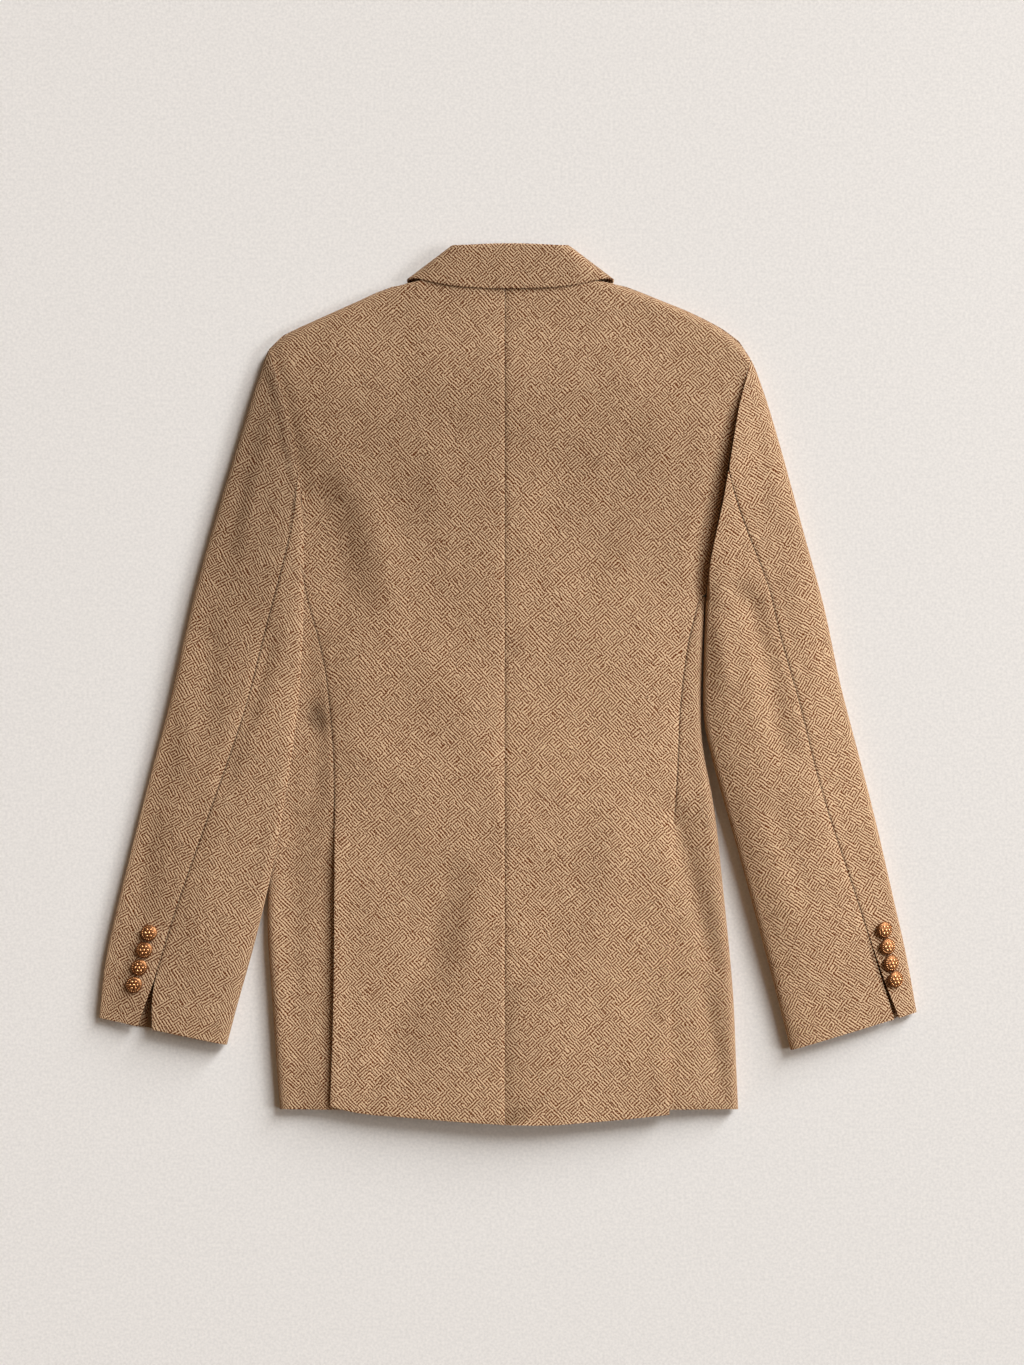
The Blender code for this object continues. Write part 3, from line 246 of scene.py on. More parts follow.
# ------------------------ settings a user would change
class BlazerCloth(bpy.types.PropertyGroup):
    """The wool and how it lies."""

    light_thread: bpy.props.FloatVectorProperty(
        name="Light Thread", description="Colour of the thread that lies uppermost",
        default=linear("#d8b58e")[:3], subtype="COLOR", min=0.0, max=1.0)
    # partly painted shade: this is the weave's darker thread, and the code lays it lowest in the
    # furrows between the ribs, where shade falls
    dark_thread_and_shade: bpy.props.FloatVectorProperty(
        name="Dark Thread and Shade", description="Colour in the furrows between the threads",
        default=linear("#632b00")[:3], subtype="COLOR", min=0.0, max=1.0)
    thread_pitch: bpy.props.FloatProperty(
        name="Thread Pitch", description="From one slanting rib of the weave to the next",
        default=2.4 * MM, min=0.5 * MM, max=8.0 * MM, subtype="DISTANCE", precision=4)
    rib_height: bpy.props.FloatProperty(
        name="Rib Height", description="How far a rib stands above its furrow",
        default=0.42 * MM, min=0.0, max=2.0 * MM, subtype="DISTANCE", precision=5)
    sheen: bpy.props.FloatProperty(
        name="Sheen", description="Strength of the nap's soft sheen",
        default=0.02, min=0.0, max=1.0, subtype="FACTOR")
    crease_scale: bpy.props.FloatProperty(
        name="Crease Scale", description="Scales the height of every soft crease",
        default=1.0, min=0.0, max=3.0, subtype="FACTOR")
    edge_round: bpy.props.FloatProperty(
        name="Edge Rounding", description="How far a cut piece's turned edge rounds off",
        default=0.7 * MM, min=0.1 * MM, max=0.8 * MM, subtype="DISTANCE", precision=5)


class BlazerButtons(bpy.types.PropertyGroup):
    """The cast metal buttons."""

    polished: bpy.props.FloatVectorProperty(
        name="Polished", description="Colour of the metal on the high parts",
        default=linear("#efb27a")[:3], subtype="COLOR", min=0.0, max=1.0)
    patina: bpy.props.FloatVectorProperty(
        name="Patina", description="Colour of the metal in the recesses",
        default=linear("#5e3016")[:3], subtype="COLOR", min=0.0, max=1.0)
    beads: bpy.props.IntProperty(
        name="Beads", description="Number of beads round the rim", default=20, min=8, max=40)


class BlazerStage(bpy.types.PropertyGroup):
    """The floor, the light and the camera."""

    floor: bpy.props.FloatVectorProperty(
        name="Floor", description="Colour of the floor",
        default=linear("#e5dfd7")[:3], subtype="COLOR", min=0.0, max=1.0)
    frame_height: bpy.props.FloatProperty(
        name="Frame Height", description="Length of the floor that the camera takes in",
        default=1.2285, min=0.5, max=3.0, subtype="DISTANCE")
    lens: bpy.props.FloatProperty(
        name="Lens", description="Focal length in millimetres",
        default=100.0, min=35.0, max=200.0, subtype="DISTANCE_CAMERA")
    key_power: bpy.props.FloatProperty(
        name="Key Power", description="Strength of the large soft light",
        default=5.4, min=0.0, max=20.0)
    key_spread: bpy.props.FloatProperty(
        name="Key Spread", description="How wide each lamp of the soft light looks from the floor",
        default=math.radians(17.0), min=0.0, max=0.5 * math.pi, subtype="ANGLE")
    key_rise: bpy.props.FloatProperty(
        name="Key Rise", description="Height of the light above the horizon",
        default=math.radians(31.0), min=0.1, max=0.5 * math.pi, subtype="ANGLE")
    key_turn: bpy.props.FloatProperty(
        name="Key Turn", description="Where the light stands round the blazer, from below the hem",
        default=math.radians(138.0), min=-math.pi, max=math.pi, subtype="ANGLE")
    sky: bpy.props.FloatProperty(
        name="Sky", description="Strength of the even light from all round",
        default=0.18, min=0.0, max=3.0, subtype="FACTOR")
    side_power: bpy.props.FloatProperty(
        name="Side Power", description="Strength in watts of the softbox on the wearer's right",
        default=9.0, min=0.0, max=200.0)


# ------------------------ helpers for objects
def select_only(*objects):
    bpy.ops.object.select_all(action="DESELECT")
    for one in objects:
        one.select_set(True)
    bpy.context.view_layer.objects.active = objects[0]


def read_points(mesh):
    points = np.empty(len(mesh.vertices) * 3)
    mesh.vertices.foreach_get("co", points)
    return points.reshape(-1, 3)


def write_points(mesh, points):
    mesh.vertices.foreach_set("co", points.ravel())
    mesh.update()


def store(mesh, name, values):
    """Stores a number or a vector for each point, which a material reads."""
    kind, key = ("FLOAT", "value") if values.ndim == 1 else ("FLOAT_VECTOR", "vector")
    layer = mesh.attributes.new(name, kind, "POINT")
    layer.data.foreach_set(key, values.ravel())


def apply_modifier(obj, name, kind, **settings):
    """Adds a modifier with its settings and applies it."""
    made = obj.modifiers.new(name, kind)
    for key, value in settings.items():
        setattr(made, key, value)
    select_only(obj)
    bpy.ops.object.modifier_apply(modifier=made.name)


def seat(obj, slot, *nodes):
    """Ties a finished piece to the root body, and hides the parts that it stands for."""
    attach(obj, "root")
    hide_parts(*nodes)


# ------------------------ helpers for shapes
def ease(share):
    """From 0 to 1 with level ends, for numbers or arrays."""
    t = np.clip(share, 0.0, 1.0)
    return t * t * (3.0 - 2.0 * t)


def hump(away, half):
    """A soft hump: 1 on its line, falling to about a third at half its width."""
    return np.exp(-(away / half)**2)


def off_line(x, y, spots):
    """Distance from each point to a line through spots, and the length along it, both in mm."""
    best = np.full(x.shape, np.inf)
    along = np.zeros(x.shape)
    gone = 0.0
    for (x0, y0), (x1, y1) in zip(spots, spots[1:]):
        run = np.array((x1 - x0, y1 - y0))
        length = float(np.hypot(*run))
        share = np.clip(((x - x0) * run[0] + (y - y0) * run[1]) / length**2, 0.0, 1.0)
        away = np.hypot(x - x0 - share * run[0], y - y0 - share * run[1])
        nearer = away < best
        best = np.where(nearer, away, best)
        along = np.where(nearer, gone + share * length, along)
        gone += length
    return best, along


def off_edge(name, x, y):
    """Distance in mm from the outer edge of a sleeve."""
    return off_line(x, y, OUTER_EDGES[name.split("_")[1]])[0]


def off_armhole(name, x, y):
    """Distance in mm from the armhole seam on a piece's own side."""
    return off_line(x, y, SEAMS["armhole_" + name.split("_")[1]])[0]


PAST_END = 0.3          # a crease runs out this share of its length past each end
END_FADE = 0.55


def crease_height(x, y, rows):
    """Height in mm that soft creases add at each point."""
    height = np.zeros(x.shape)
    for row in rows:
        run = (row.x1 - row.x0, row.y1 - row.y0)
        share = ((x - row.x0) * run[0] + (y - row.y0) * run[1]) / (run[0]**2 + run[1]**2)
        held = np.clip(share, 0.0, 1.0)
        away = np.hypot(x - row.x0 - held * run[0], y - row.y0 - held * run[1])
        taper = ease((share + PAST_END) / END_FADE) * ease((1.0 + PAST_END - share) / END_FADE)
        height += row.height * hump(away, row.half) * taper
    return height


def cloud(x, y, length, seed):
    """A smooth uneven field, about -1 to 1, with bumps about this many mm across."""
    draws = np.random.default_rng(seed)
    total = np.zeros(x.shape)
    for _ in range(9):
        turn = draws.uniform(0.0, 2.0 * math.pi)
        pitch = length * draws.uniform(0.7, 1.8)
        phase = draws.uniform(0.0, 2.0 * math.pi)
        total += np.sin(2.0 * math.pi * (x * math.cos(turn) + y * math.sin(turn)) / pitch + phase)
    return total / 4.0


DITCH_DEPTH = 0.6
DITCH_HALF = 1.7
PUCKER_HEIGHT = 0.25
PUCKER_HALF = 8.0
PUCKER_LENGTH = 16.0
SEAM_REACH = 30.0       # a seam's line is looked for no farther off than this
FAINT = 1.0             # the centre back's painted seam shade is as faint as if it were this much farther off
CUFF_SHADE_WIDENING = 1.7      # the painted shade of the right elbow seam widens to this half width towards the cuff, standing for the shade in a gap there
CUFF_SHADE_TOP = -215.0
CUFF_SHADE_RUN = 70.0


def seam_ease(x, y):
    """Height in mm of the ditch along each seam, with the slight pucker of its stitches."""
    height = np.zeros(x.shape)
    for seed, (name, spots) in enumerate(SEAMS.items()):
        if name.startswith("armhole"):
            continue
        away, along = off_line(x, y, spots)
        ditch = -DITCH_DEPTH * hump(away, DITCH_HALF)
        puckers = cloud(along, away * 0.3, PUCKER_LENGTH, 40 + seed)
        height += ditch + PUCKER_HEIGHT * puckers * hump(away, PUCKER_HALF)
    return height


def from_seam(x, y):
    """Distance in mm to the nearest seam that shows, no more than SEAM_REACH, for the shade painted
    along it.
    """
    nearest = np.full(x.shape, SEAM_REACH)
    for name, spots in SEAMS.items():
        if name.startswith("armhole"):
            continue
        away, _ = off_line(x, y, spots)
        if name == "centre_back":
            away += FAINT
        elif name == "elbow_right":
            shade_widening = CUFF_SHADE_WIDENING * ease((CUFF_SHADE_TOP - y) / CUFF_SHADE_RUN)
            away = np.maximum(away - shade_widening, 0.0)
        nearest = np.minimum(nearest, away)
    return nearest


def upper_height(x, y, scale):
    """Height in mm that the upper layer gains at each point."""
    uneven = 0.5 * cloud(x, y, 90.0, 3) + 0.2 * cloud(x, y, 34.0, 4)
    return scale * (crease_height(x, y, UPPER_CREASES) + uneven) + seam_ease(x, y)


def lower_height(x, y, scale):
    """Height in mm by which the lowest layer lifts off the floor at each point."""
    return scale * np.maximum(crease_height(x, y, LOWER_CREASES), 0.0)


BACK_SAG = 0.42         # the share of its height that the back loses at its sides
BACK_HALF = 190.0
BACK_FILL = 0.18        # and the share that it regains below the shoulders
FILL_LEVEL = 335.0
FILL_RUN = 70.0
HEAD_SAG = 0.26         # the share that a sleeve loses at its head
HEAD_HALF = 38.0
EDGE_SAG = 0.5          # and towards its outer edge
EDGE_WIDTH = 95.0
LEFT_EDGE_SAG = 0.18    # and the left one once more, along that edge
LEFT_EDGE_HALF = 26.0
HEAD_HOLDS = 0.85       # the head holds up this much of the outer edge's sag
TURN_START = 60.0       # a sleeve turns up sharply from this far inside its outer edge
TURN_RUN = 30.0
TURN_POWER = 0.6


def sag(name, x, y):
    """Share of its height above the side folds that the upper layer loses, as limp cloth does."""
    if not name.startswith("sleeve"):
        lost = BACK_SAG * ease(np.abs(x - CENTRE_BACK) / BACK_HALF)
        return lost - BACK_FILL * ease((FILL_LEVEL - y) / FILL_RUN)
    from_edge = off_edge(name, x, y)
    head = hump(off_armhole(name, x, y), HEAD_HALF)
    outer = EDGE_SAG * ease(1.0 - from_edge / EDGE_WIDTH)
    if name.startswith("sleeve_left"):
        outer += LEFT_EDGE_SAG * hump(from_edge, LEFT_EDGE_HALF)
    return HEAD_SAG * head + outer * (1.0 - HEAD_HOLDS * head)


def plump(name, x, y, above):
    """Height above the side folds, raised where a sleeve turns up sharply from its inner edge."""
    if not name.startswith("sleeve"):
        return above
    sharp = TURN_UP * (np.minimum(above, TURN_UP) / TURN_UP)**TURN_POWER
    inner = ease((off_edge(name, x, y) - TURN_START) / TURN_RUN)
    return above + inner * np.maximum(sharp - above, 0.0)


def hem_drop(name, x, y):
    """Height in mm that the upper layer loses towards its hem, where it comes to rest."""
    hem = next(spots for start, spots in HEMS.items() if name.startswith(start))
    away, _ = off_line(x, y, hem)
    return HEM_DROP * hump(away, HEM_FADE)


# The right sleeve's head stands up by a share of the groove's depth, the wall of its edge reaches
# down past it, and the body lies lower.  The left head rolls up beside its seam.
HEAD_STANDS = 0.62
HEAD_FLAT = 1.5
HEAD_FADE = 22.0
WALL_STANDS = 0.6
WALL_MORE = 1.0
WALL_REACH = 4.0
BODY_SINKS = 0.68
BODY_FADE = 15.0
ROLL_HEIGHT = 1.2
ROLL_PLACE = 3.5
ROLL_HALF = 4.5
LEFT_BODY_SINKS = 2.2
LEFT_BODY_FADE = 9.0


def armhole_step(name, x, y, steep):
    """Height in mm beside an armhole: the left sleeve rolls over its seam, the right stands over it.

    steep says from 0 to 1 how near a point is to being on a cut edge's wall.
    """
    away = off_armhole(name, x, y)
    if "right" in name:
        depth = np.interp(y, *zip(*RIGHT_GROOVE))
        if name.startswith("sleeve"):
            roll = HEAD_STANDS * depth * hump(np.maximum(away - HEAD_FLAT, 0.0), HEAD_FADE)
            wall = roll + WALL_STANDS * depth + WALL_MORE
            return roll - wall * steep * (away < WALL_REACH)
        return -BODY_SINKS * depth * hump(away, BODY_FADE)
    if name.startswith("sleeve"):
        return ROLL_HEIGHT * hump(away - ROLL_PLACE, ROLL_HALF)
    return -LEFT_BODY_SINKS * hump(away, LEFT_BODY_FADE)


def vent_step(name, x, y):
    """Height in mm beside the left vent, whose edge lifts while the underlap lies low."""
    open_part = ease((VENT_LEFT.top - y) / 40.0)
    away = x - VENT_LEFT.edge
    if name == "back_left":
        return VENT_LEFT.lift * hump(away, 9.0) * open_part * ease((y + 420.0) / 60.0)
    if name == "side_left":
        return -VENT_LEFT.dip * hump(away, 12.0) * open_part
    return np.zeros(x.shape)


# ------------------------ cloth pieces
RIM_ANGLE = math.radians(58)    # faces that meet more sharply than this are a cut edge
FLAT_PIECES = ("front_left", "front_right", "lapel_left", "lapel_right")
FLAT_STEP = 14.0                # the flat pieces are ruled into squares of this side
UPPER_FADE = 8.0                # the upper layer's creases grow in over this height
FLOOR_LAYER = 1.0               # cloth no higher than this lies on the floor
LOWER_FADE = 5.0
COLLAR_END_START = 62.0         # the collar's ends start this far from its middle
COLLAR_END_RUN = 20.0
COLLAR_UNEVEN = 0.15
HEAD_LAP_HALF = 5.0
TURN_TOP = 16.0                 # cloth below this height is on a fold, which hides up to
TURN_LENGTH = 11.0              # so much of its width or length from above
HEAD_WALL_TOP = 21.0            # and so is the wall of the right sleeve's head
HEAD_WALL_HALF = 6.0
SLEEVE_MIDDLE = 45.0            # a sleeve's middle is this far inside its outer edge


def rule_grid(mesh, step):
    """Cuts a mesh by upright planes, a step apart both ways, so that it can bend."""
    form = bmesh.new()
    form.from_mesh(mesh)
    for axis in (0, 1):
        places = [v.co[axis] for v in form.verts]
        count = int((max(places) - min(places)) / step)
        for k in range(1, count + 1):
            spot = Vector()
            spot[axis] = min(places) + k * step
            facing = Vector()
            facing[axis] = 1.0
            everything = form.verts[:] + form.edges[:] + form.faces[:]
            bmesh.ops.bisect_plane(form, geom=everything, dist=0.02 * MM,
                                   plane_co=spot, plane_no=facing)
    form.to_mesh(mesh)
    form.free()


def hold_rims(mesh):
    """Keeps each cut edge sharp, with its corners, while the mesh is made finer."""
    form = bmesh.new()
    form.from_mesh(mesh)
    layer = form.edges.layers.float.new("crease_edge")
    for edge in form.edges:
        if edge.calc_face_angle(0.0) > RIM_ANGLE:
            edge[layer] = 1.0
    form.to_mesh(mesh)
    form.free()


def steepness(mesh):
    """From 0 where the cloth lies level to 1 on a cut edge's wall, for each point."""
    level = np.array([abs(one.vector.z) for one in mesh.vertex_normals])
    return 1.0 - ease((level - 0.35) / 0.45)


def collar_drop(x, y, z):
    """Height in mm that the collar loses, most of all at its ends."""
    fall = np.maximum(z - SIDE_FOLD, 0.0) * sag("collar", x, y)
    ends = ease((np.abs(x - CENTRE_BACK) - COLLAR_END_START) / COLLAR_END_RUN)
    return fall + COLLAR_END_DROP * ends * ease((z - 12.0) / 3.0)


def lay_creases(obj, name, scale):
    """Moves a shell's points up and down with the layer that they are in."""
    points = read_points(obj.data) / MM
    x, y, z = points.T
    if name in FLAT_PIECES:
        points[:, 2] = z + lower_height(x, y, scale)
    elif name.startswith("collar"):
        uneven = COLLAR_UNEVEN * cloud(x, y, 40.0, 8) * ease((z - SIDE_FOLD) / 6.0)
        points[:, 2] = z - collar_drop(x, y, z) + uneven
    else:
        above = np.maximum(z - SIDE_FOLD, 0.0)
        upper = ease(above / UPPER_FADE)
        lower = 1.0 - ease((z - FLOOR_LAYER) / LOWER_FADE)
        if name.startswith("back"):
            lower = np.zeros(x.shape)
        steep = steepness(obj.data)
        rise = upper_height(x, y, scale) + armhole_step(name, x, y, steep) + vent_step(name, x, y)
        rise -= hem_drop(name, x, y)
        plumper = plump(name, x, y, above) - above
        points[:, 2] = (z + plumper - above * sag(name, x, y) + upper * rise
                        + lower * lower_height(x, y, scale))
        if name.startswith("sleeve_left"):
            lap = upper * HEAD_LAP * hump(off_armhole(name, x, y), HEAD_LAP_HALF)
            points[:, :2] += np.outer(lap, HEAD_LAP_WAY)
        if name.startswith("sleeve"):
            tip_x, tip_y = SEAMS["armhole_" + name.split("_")[1]][0]
            from_tip = (x - tip_x)**2 + (y - tip_y)**2
            points[:, 0] -= np.sign(x) * TIP_LAP * np.exp(-from_tip / TIP_REACH**2)
    points[:, 2] = np.maximum(points[:, 2], 0.0)
    write_points(obj.data, points * MM)


def painted_light_and_shade(name, x, y):
    """The painted light and shade on a piece, as a lightness at each point."""
    nap = PAINTED_LIGHT.get(name, PAINTED_LIGHT.get(name.rpartition("_")[0], PLAIN_PAINTED_LIGHT))
    high = ease((y - WAIST_LEVEL) / (CHEST_LEVEL - WAIST_LEVEL))
    lightness = nap.low + (nap.high - nap.low) * high
    if nap is PLAIN_PAINTED_LIGHT:
        lightness += PAINTED_LIGHT_ACROSS * x
        # painted shade in the tuck under the wearer's left sleeve
        tuck_shade_spread = ((x - TUCK_SHADE.x) / TUCK_SHADE.half_x)**2 + ((y - TUCK_SHADE.y) / TUCK_SHADE.half_y)**2
        lightness -= TUCK_SHADE.dark * np.exp(-tuck_shade_spread)
    return lightness


def lay_grain(obj, name, plain_z):
    """Stores where each point lies on the woven cloth, in metres across and along the grain.

    plain_z is each point's height in mm before the creases were laid.
    """
    x, y, z = read_points(obj.data).T / MM
    fold = np.clip(TURN_TOP - plain_z, 0.0, TURN_LENGTH)
    if name.startswith("sleeve_right"):
        wall = steepness(obj.data) * hump(off_armhole(name, x, y), HEAD_WALL_HALF)
        fold += wall * np.maximum(HEAD_WALL_TOP - z - fold, 0.0)
    across, along = x, y
    if name in SLEEVE_GRAINS:
        grain = SLEEVE_GRAINS[name]
        lean = math.radians(grain.lean)
        across = (x - grain.x) * math.cos(lean) + (y - grain.y) * math.sin(lean)
        along = -(x - grain.x) * math.sin(lean) + (y - grain.y) * math.cos(lean)
        outward = 1.0 if name.startswith("sleeve_right") else -1.0
        across += outward * np.where(off_edge(name, x, y) < SLEEVE_MIDDLE, fold, -fold)
    elif name.startswith("side"):
        across = x + np.sign(x) * fold
    elif name.startswith(("back", "collar")):
        along = y + fold
    store(obj.data, "grain", np.column_stack((across, along, np.zeros(len(x)))) * MM)
    # the painted light and shade, which the material multiplies into the wool's colour
    store(obj.data, "nap", painted_light_and_shade(name, x, y))
    seamless = name in FLAT_PIECES or name.startswith("collar")
    # the distance from the seams, along which shade is painted
    store(obj.data, "seam", np.full(len(x), SEAM_REACH) if seamless else from_seam(x, y))


def cloth_piece(context, name):
    """A fine shell on a cut piece's solid, rounded at its edges and creased, in wool."""
    settings = context.scene.blazer_cloth
    obj = bpy.data.objects.new(name + "_wool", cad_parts[name].data.copy())
    context.scene.collection.objects.link(obj)
    obj.data.name = obj.name
    select_only(obj)
    bpy.ops.object.mode_set(mode="EDIT")
    bpy.ops.mesh.select_all(action="SELECT")
    bpy.ops.mesh.remove_doubles(threshold=0.01 * MM)
    bpy.ops.mesh.customdata_custom_splitnormals_clear()
    bpy.ops.mesh.tris_convert_to_quads(face_threshold=math.radians(40),
                                       shape_threshold=math.radians(150))
    bpy.ops.object.mode_set(mode="OBJECT")
    if name in FLAT_PIECES:
        rule_grid(obj.data, FLAT_STEP * MM)
    hold_rims(obj.data)
    levels = CUTS[name].levels
    apply_modifier(obj, "fine", "SUBSURF", levels=levels, render_levels=levels)
    apply_modifier(obj, "turned_edge", "BEVEL", width=settings.edge_round, segments=2,
                   limit_method="ANGLE", angle_limit=RIM_ANGLE)
    plain_z = read_points(obj.data)[:, 2] / MM
    lay_creases(obj, name, settings.crease_scale)
    lay_grain(obj, name, plain_z)
    obj.data.shade_smooth()
    obj.data.materials.clear()
    obj.data.materials.append(woven_wool(settings))
    seat(obj, "wool_cloth", name)


def dress(context, *names):
    """Dresses several cut pieces, as a step of the whole."""
    for name in names:
        cloth_piece(context, name)
    return {"FINISHED"}


# ------------------------ materials
def node(tree, kind, settings=(), **inputs):
    """Adds a node, sets its settings, and sets or links its inputs, by name or as i0, i1 and so on."""
    made = tree.nodes.new(kind)
    for key, value in dict(settings).items():
        setattr(made, key, value)
    for key, value in inputs.items():
        numbered = key[0] == "i" and key[1:].isdigit()
        slot = made.inputs[int(key[1:]) if numbered else key]
        if isinstance(value, bpy.types.NodeSocket):
            tree.links.new(value, slot)
        elif isinstance(value, bpy.types.Node):
            tree.links.new(value.outputs[0], slot)
        else:
            slot.default_value = value
    return made


def new_material(name):
    made = bpy.data.materials.new(name)
    made.use_nodes = True
    made.node_tree.nodes.clear()
    return made, made.node_tree


WEAVE_LEAN = -43.0      # degrees from the grain to one family of ribs
WANDER = 0.0016         # how far, in metres, a rib may wander
BLOCK_SCALE = 0.37      # blocks for each rib pitch
STEEP_BLOCKS = 0.60     # share of the blocks whose raised ribs take the steeper slant
STEEP_MOST = 0.70       # how much the raised ribs outweigh the others there
STEEP_LEAST = 0.30
TONE_GAIN = 1.9         # from a rib's height to its lightness, darkening the furrows as painted shade
FIBRE_GAIN = 0.40
TONE_START = 0.52


def woven_wool(settings):
    """Worsted wool in a broken twill: slanting ribs that change their slant in small blocks.

    Wool is matt with a faint nap, so it is rough, with a soft sheen, and only its ribs catch light;
    the furrows between them are also darkened in the colour, as painted shade.
    """
    name = "woven_wool"
    if name in bpy.data.materials:
        return bpy.data.materials[name]
    made, tree = new_material(name)

    def maths(operation, first, second=0.0, third=0.0):
        return node(tree, "ShaderNodeMath", {"operation": operation}, i0=first, i1=second, i2=third)

    grain = node(tree, "ShaderNodeAttribute", {"attribute_name": "grain"})
    grain = grain.outputs["Vector"]
    # the ribs run at 47 degrees one way and 43 the other, and wander a little
    drift = node(tree, "ShaderNodeTexNoise", {"noise_dimensions": "3D"}, Vector=grain,
                 Scale=70.0, Detail=3.0)
    drift = node(tree, "ShaderNodeVectorMath", {"operation": "MULTIPLY_ADD"},
                 i0=drift.outputs["Color"], i1=(WANDER, WANDER, 0.0), i2=grain)
    turned = node(tree, "ShaderNodeMapping", {"vector_type": "POINT"}, Vector=drift,
                  Rotation=(0.0, 0.0, math.radians(WEAVE_LEAN)),
                  Scale=(1.0 / settings.thread_pitch, 1.0 / settings.thread_pitch, 1.0))
    parts = node(tree, "ShaderNodeSeparateXYZ", Vector=turned)
    a, b = parts.outputs["X"], parts.outputs["Y"]
    # ragged blocks, about three ribs wide, in which either the one slant or the other is raised,
    # and which each have a pitch and a place of their own
    blocks = node(tree, "ShaderNodeTexVoronoi", {"voronoi_dimensions": "2D", "distance": "CHEBYCHEV"},
                  Vector=turned, Scale=BLOCK_SCALE, Randomness=0.9)
    chosen = node(tree, "ShaderNodeSeparateColor", Color=blocks.outputs["Color"])
    steep = maths("LESS_THAN", chosen.outputs[0], STEEP_BLOCKS)
    steep = maths("MULTIPLY_ADD", steep, STEEP_MOST - STEEP_LEAST, STEEP_LEAST)
    tightness = maths("MULTIPLY_ADD", chosen.outputs[1], 0.22, 0.90)
    shift = maths("MULTIPLY", chosen.outputs[2], 7.0)

    def ribs(across, lengthways, seed):
        """Height of a family of ribs, each with its own thickness and tone along its length."""
        across = maths("MULTIPLY_ADD", across, tightness, shift)
        wave = maths("SINE", maths("MULTIPLY", across, 2.0 * math.pi))
        wave = node(tree, "ShaderNodeMath", {"operation": "MULTIPLY_ADD", "use_clamp": True},
                    i0=wave, i1=1.0, i2=0.44)
        spot = node(tree, "ShaderNodeCombineXYZ", X=maths("MULTIPLY", maths("FLOOR", across), 3.7),
                    Y=maths("MULTIPLY", lengthways, 1.3), Z=seed)
        slub = node(tree, "ShaderNodeTexNoise", {"noise_dimensions": "3D"}, Vector=spot,
                    Scale=1.0, Detail=1.0)
        return maths("MULTIPLY", wave, maths("MULTIPLY", slub.outputs["Fac"], 2.1))

    height = node(tree, "ShaderNodeMix", {"data_type": "FLOAT"}, Factor=steep,
                  i2=ribs(b, a, 5.0), i3=ribs(a, b, 9.0))
    height = height.outputs[0]
    fibre = node(tree, "ShaderNodeTexNoise", {"noise_dimensions": "3D"}, Vector=grain,
                 Scale=620.0, Detail=2.0)
    # painted shade: the lower a point lies between the ribs, the nearer its colour comes to the dark
    # thread's
    tone = maths("ADD", maths("MULTIPLY", height, TONE_GAIN),
                 maths("MULTIPLY", fibre.outputs["Fac"], FIBRE_GAIN))
    tone = maths("SUBTRACT", tone, TONE_START)
    wool = node(tree, "ShaderNodeMix", {"data_type": "RGBA", "clamp_factor": True}, i0=tone,
                i6=(*settings.dark_thread_and_shade, 1.0), i7=(*settings.light_thread, 1.0))
    # dye takes unevenly over a hand's breadth, and painted light and shade makes some pieces and parts
    # lighter or darker
    patch = node(tree, "ShaderNodeTexNoise", {"noise_dimensions": "3D"}, Vector=grain,
                 Scale=9.0, Detail=2.0)
    shade = maths("MULTIPLY_ADD", patch.outputs["Fac"], 0.16, 0.92)
    nap = node(tree, "ShaderNodeAttribute", {"attribute_name": "nap"})
    shade = maths("MULTIPLY", shade, nap.outputs["Fac"])
    # painted shade: the cloth turns down into a seam, and the shade there is painted as a fine dark
    # line, between 0.3 and 1.4 mm off
    seam = node(tree, "ShaderNodeAttribute", {"attribute_name": "seam"})
    painted_seam_shade = node(tree, "ShaderNodeMapRange", {}, Value=seam.outputs["Fac"],
                **{"From Min": 0.3, "From Max": 1.4, "To Min": 0.66})
    shade = maths("MULTIPLY", shade, painted_seam_shade)
    wool = node(tree, "ShaderNodeVectorMath", {"operation": "SCALE"}, i0=wool.outputs[2], Scale=shade)
    relief = node(tree, "ShaderNodeBump", Strength=0.8, Distance=settings.rib_height, Height=height)
    shader = node(tree, "ShaderNodeBsdfPrincipled", {}, Roughness=0.88, Normal=relief)
    tree.links.new(wool.outputs[0], shader.inputs["Base Color"])
    shader.inputs["IOR"].default_value = 1.45
    shader.inputs["Specular IOR Level"].default_value = 0.12
    shader.inputs["Sheen Weight"].default_value = settings.sheen
    shader.inputs["Sheen Roughness"].default_value = 0.45
    shader.inputs["Sheen Tint"].default_value = linear("#e8cfae")
    node(tree, "ShaderNodeOutputMaterial", {}, Surface=shader)
    return made


